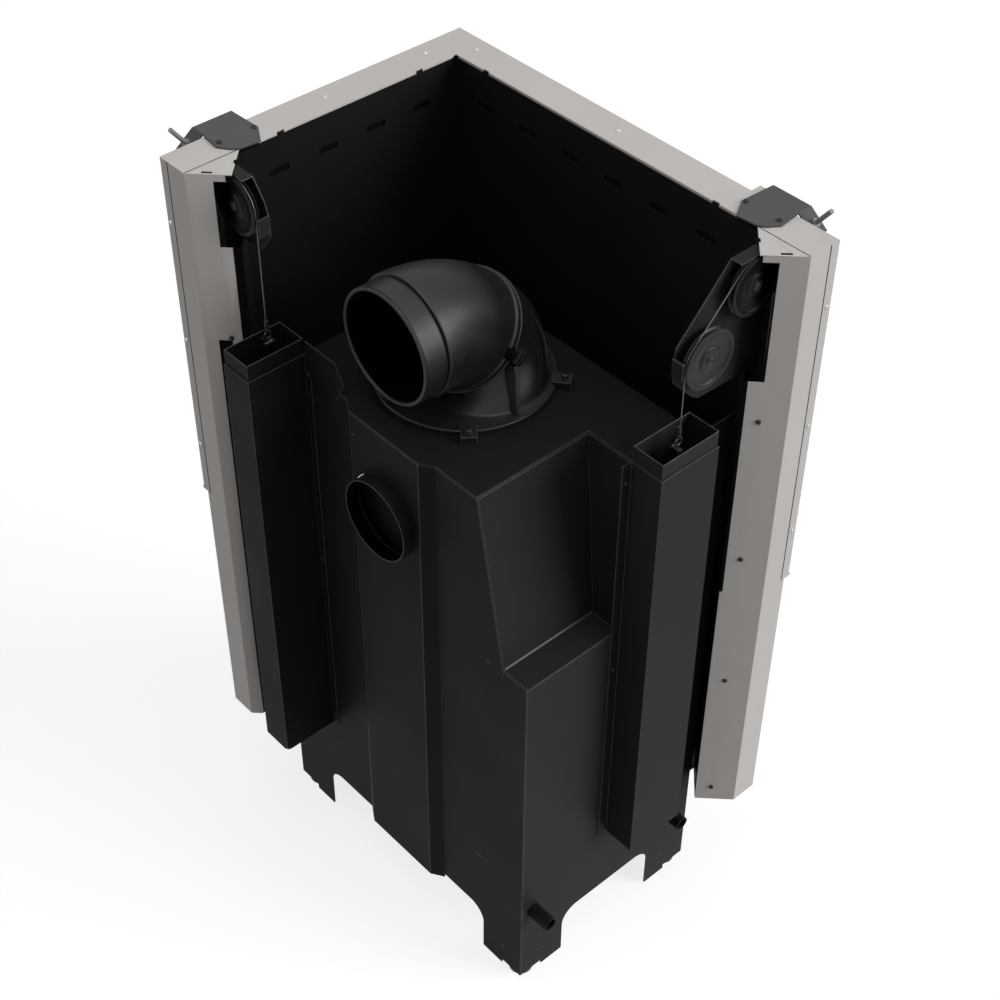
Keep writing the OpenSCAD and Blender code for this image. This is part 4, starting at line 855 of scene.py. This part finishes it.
def seams_and_shades():
    """The dark joints of strip, cap and end flange, painted shade at the slots and under the
    anchors, and black edges.

    For each wing: the height at which its column's cut-out ends, how wide the black edge on the
    slanting face is, how far it goes past that face's inner end, and the height of its foot.
    """
    s = Shape()
    edges = ((front, FRONT_LEN, FRONT_CUT_LOW, 3.5, 0.4, COVER_LOW),
             (side, SIDE_LEN, SIDE_CUT_LOW, 7, 3, LOW))
    for wing, length, opened, wide, past, foot in edges:
        # Joint between strip and cap, and joint of the end flange
        s.box(wing(length - CAP_CORNER, WING_D - 0.7, TOP - 1.5),
              wing(length - 1, WING_D + 0.8, TOP + 0.15))
        s.box(wing(length - 1, 17.6, COVER_LOW + 1), wing(length + 0.15, 19.6, TOP - 1))
        cap_slots(s, wing, length)
        # Dark lip under the anchor and a dark plate behind the inner panel's slots, both painted
        # shade
        s.box(wing(length - ANCHOR_START, WING_D - 0.6, TOP - 6),
              wing(length - ANCHOR_END, WING_D + 1.5, TOP - 0.4))
        s.box(wing(100, 60.6, 1400), wing(length - 130, 61.2, 1474))
        # Black edge along the slanting face, above and below the cut-out
        for low, high in ((foot, opened), (CUT_TOP, TOP - 1.6)):
            edge = [wing(length - a + out, WING_D + a + out, low)
                    for a in (COLUMN_D + past, COLUMN_D - wide) for out in (0.3, -2.2)]
            slanting_strip(s, edge, low, high)
    # Dark backing of the slot down the left column: painted shade seen through it
    low, high = LOW + 1, LOW + 923
    edge = [side(SIDE_LEN - a + out, WING_D + a + out, low)
            for a in (12, 38) for out in (-1.8, -2.4)]
    slanting_strip(s, edge, low, high)
    s.made("sheet_seams_and_shades", SEAM_AND_SHADE, "frame")


def cover_tab():
    """The small bright tab in front of the strip beside the right anchor."""
    s = Shape().box(front(669, -21, 1479.8), front(682, 0.5, 1481.8))
    s.made("cover_front_tab", GALVANISED, "frame", soft=0.3)


def recess_lip():
    """The sloping panel's lower edge, turned out over the ledge, light grey as a painted highlight.
    """
    plan = ((-698, 812.2), (-694.5, 812.2), (-693.3, 815.5), (-696.6, 815.5))
    s = Shape().prism([at(x, 325, z) for x, z in plan], Vector((0, 0.194, 0)))
    s.made("recess_lower_edge", LIP_HIGHLIGHT, "frame", soft=0.4)


def inlet_shade():
    """A near-black lining inside the air collar: painted shade."""
    profile = [(71.9, 0.5), (71.9, 24), (71.3, 24), (71.3, 0.5)]
    s = Shape().lathe(profile, at(COLLAR_X, COLLAR_Y, COLLAR_Z), BACK, STEPS, closed=True)
    s.made("inlet_inside", INNER_SHADE, "frame")


def inlet_rim():
    """A rim round the collar's foot, and a small bright zinc tab on it that puts in a painted
    highlight.
    """
    profile = [(74, 0), (78.5, 0), (78.5, 0.8), (77.8, 1.4), (74, 1.4)]
    s = Shape().lathe(profile, at(COLLAR_X, COLLAR_Y, COLLAR_Z), BACK, STEPS, closed=True)
    s.made("inlet_foot_rim", BLACK_SHEET, "frame")
    angles = [math.radians(a) for a in range(27, 50, 2)]
    section = ((74.2, 1.6), (74.2, 4.2), (76.4, 4.2), (76.4, 1.6))
    rings = [[at(COLLAR_X + r * math.cos(a), COLLAR_Y + depth, COLLAR_Z + r * math.sin(a))
              for r, depth in section] for a in angles]
    Shape().grid(rings, caps=True).made("inlet_highlight_tab", ZINC, "frame", soft=0.3)


def pin_holes():
    """Small plugged holes in the body's sheets, and one short slit as a dark patch of painted shade.
    """
    s = Shape()
    rear = ((-354.9, COLLAR_Y, 1102.8), (-351.6, COLLAR_Y, 357.8), (-660.9, BODY_B, 807.8),
            (-705, BODY_B, 57))
    left = ((-BODY_L, 411.6, 809.9), (-BODY_L, 482, 61), (-BODY_L, 157, 62))
    profile = [(0.1, 0.1), (1.6, 0.1), (1.9, 0.5), (2.4, 0.5), (2.7, 0)]
    for spots, axis in ((rear, BACK), (left, LEFT)):
        for spot in spots:
            s.lathe(profile, at(*spot), axis, 16)
    # The slit: a thin dark patch, painted shade
    s.box(at(-648, BODY_B - 0.2, 273.4), at(-629, BODY_B + 0.3, 275.6))
    s.made("sheet_pin_holes", BLACK_SCREW, "frame")


strip_lips()
seams_and_shades()
cover_tab()
recess_lip()
inlet_rim()
inlet_shade()
pin_holes()


# Light, floor and background
def area(name, spot, aim, size, power):
    """A square lamp at one point, aimed at another."""
    data = bpy.data.lights.new(name, "AREA")
    data.shape, data.size, data.energy = "SQUARE", size, power
    obj = bpy.data.objects.new(name, data)
    bpy.context.scene.collection.objects.link(obj)
    obj.location = spot
    obj.rotation_euler = (Vector(aim) - Vector(spot)).to_track_quat("-Z", "Y").to_euler()


def far_light(name, spot, strength, spread):
    """A softbox far away, as a sun lamp with a wide disc."""
    data = bpy.data.lights.new(name, "SUN")
    data.energy, data.angle = strength, math.radians(spread)
    obj = bpy.data.objects.new(name, data)
    bpy.context.scene.collection.objects.link(obj)
    obj.location = Vector(spot) * 4
    obj.rotation_euler = Vector(spot).to_track_quat("Z", "Y").to_euler()


# The far lights have a strength and a spread in degrees; the near one has an aim, a size and a power
far_light("light_right", (-0.77, -0.51, 0.38), 3.3, 40)
far_light("light_left", (0.62, 0.7, 0.35), 0.3, 40)
far_light("light_above", (0.1, -0.05, 1), 0.68, 60)
area("light_top", (-0.6, 0.4, 3.4), (0, 0, 0.8), 1.6, 16)


def seen_white(n, share):
    """A strength that is share for camera, mirror and glass rays and nothing for the rest."""
    path = n.add("LightPath")
    a = n.add("Math", operation="MAXIMUM")
    b = n.add("Math", operation="MAXIMUM")
    n.link(path.outputs["Is Camera Ray"], a.inputs[0])
    n.link(path.outputs["Is Glossy Ray"], a.inputs[1])
    n.link(a.outputs[0], b.inputs[0])
    n.link(path.outputs["Is Transmission Ray"], b.inputs[1])
    amount = n.add("Math", operation="MULTIPLY")
    n.link(b.outputs[0], amount.inputs[0])
    amount.inputs[1].default_value = share
    return amount.outputs[0]


def make_world():
    """A white background to the eye that lights the scene only dimly."""
    world = bpy.data.worlds.new("studio")
    bpy.context.scene.world = world
    world.use_nodes = True
    n = Nodes(world.node_tree)
    out = n.add("OutputWorld")
    dim = n.add("Background", Color=(1, 0.88, 0.85, 1), Strength=0.08)
    white = n.add("Background", Color=(1, 1, 1, 1), Strength=1.0)
    mix = n.add("MixShader")
    n.link(seen_white(n, 1.0), mix.inputs["Fac"])
    n.link(dim.outputs[0], mix.inputs[1])
    n.link(white.outputs[0], mix.inputs[2])
    n.link(mix.outputs[0], out.inputs["Surface"])


def make_floor():
    """A wide pale floor that glows a little to the eye, so that only soft shadows show."""
    reach = 30
    corners = [(-reach, -reach, 0), (reach, -reach, 0), (reach, reach, 0), (-reach, reach, 0)]
    mesh = bpy.data.meshes.new("floor")
    mesh.from_pydata(corners, [], [(0, 1, 2, 3)])
    obj = bpy.data.objects.new("floor", mesh)
    bpy.context.scene.collection.objects.link(obj)
    mat, n = new_material("floor")
    out = n.add("OutputMaterial")
    paint = n.add("BsdfDiffuse", Color=(0.3, 0.285, 0.28, 1))
    glow = n.add("Emission", Color=(1, 1, 1, 1))
    both = n.add("AddShader")
    n.link(seen_white(n, 0.8), glow.inputs["Strength"])
    n.link(paint.outputs[0], both.inputs[0])
    n.link(glow.outputs[0], both.inputs[1])
    n.link(both.outputs[0], out.inputs["Surface"])
    mesh.materials.append(mat)


make_world()
make_floor()
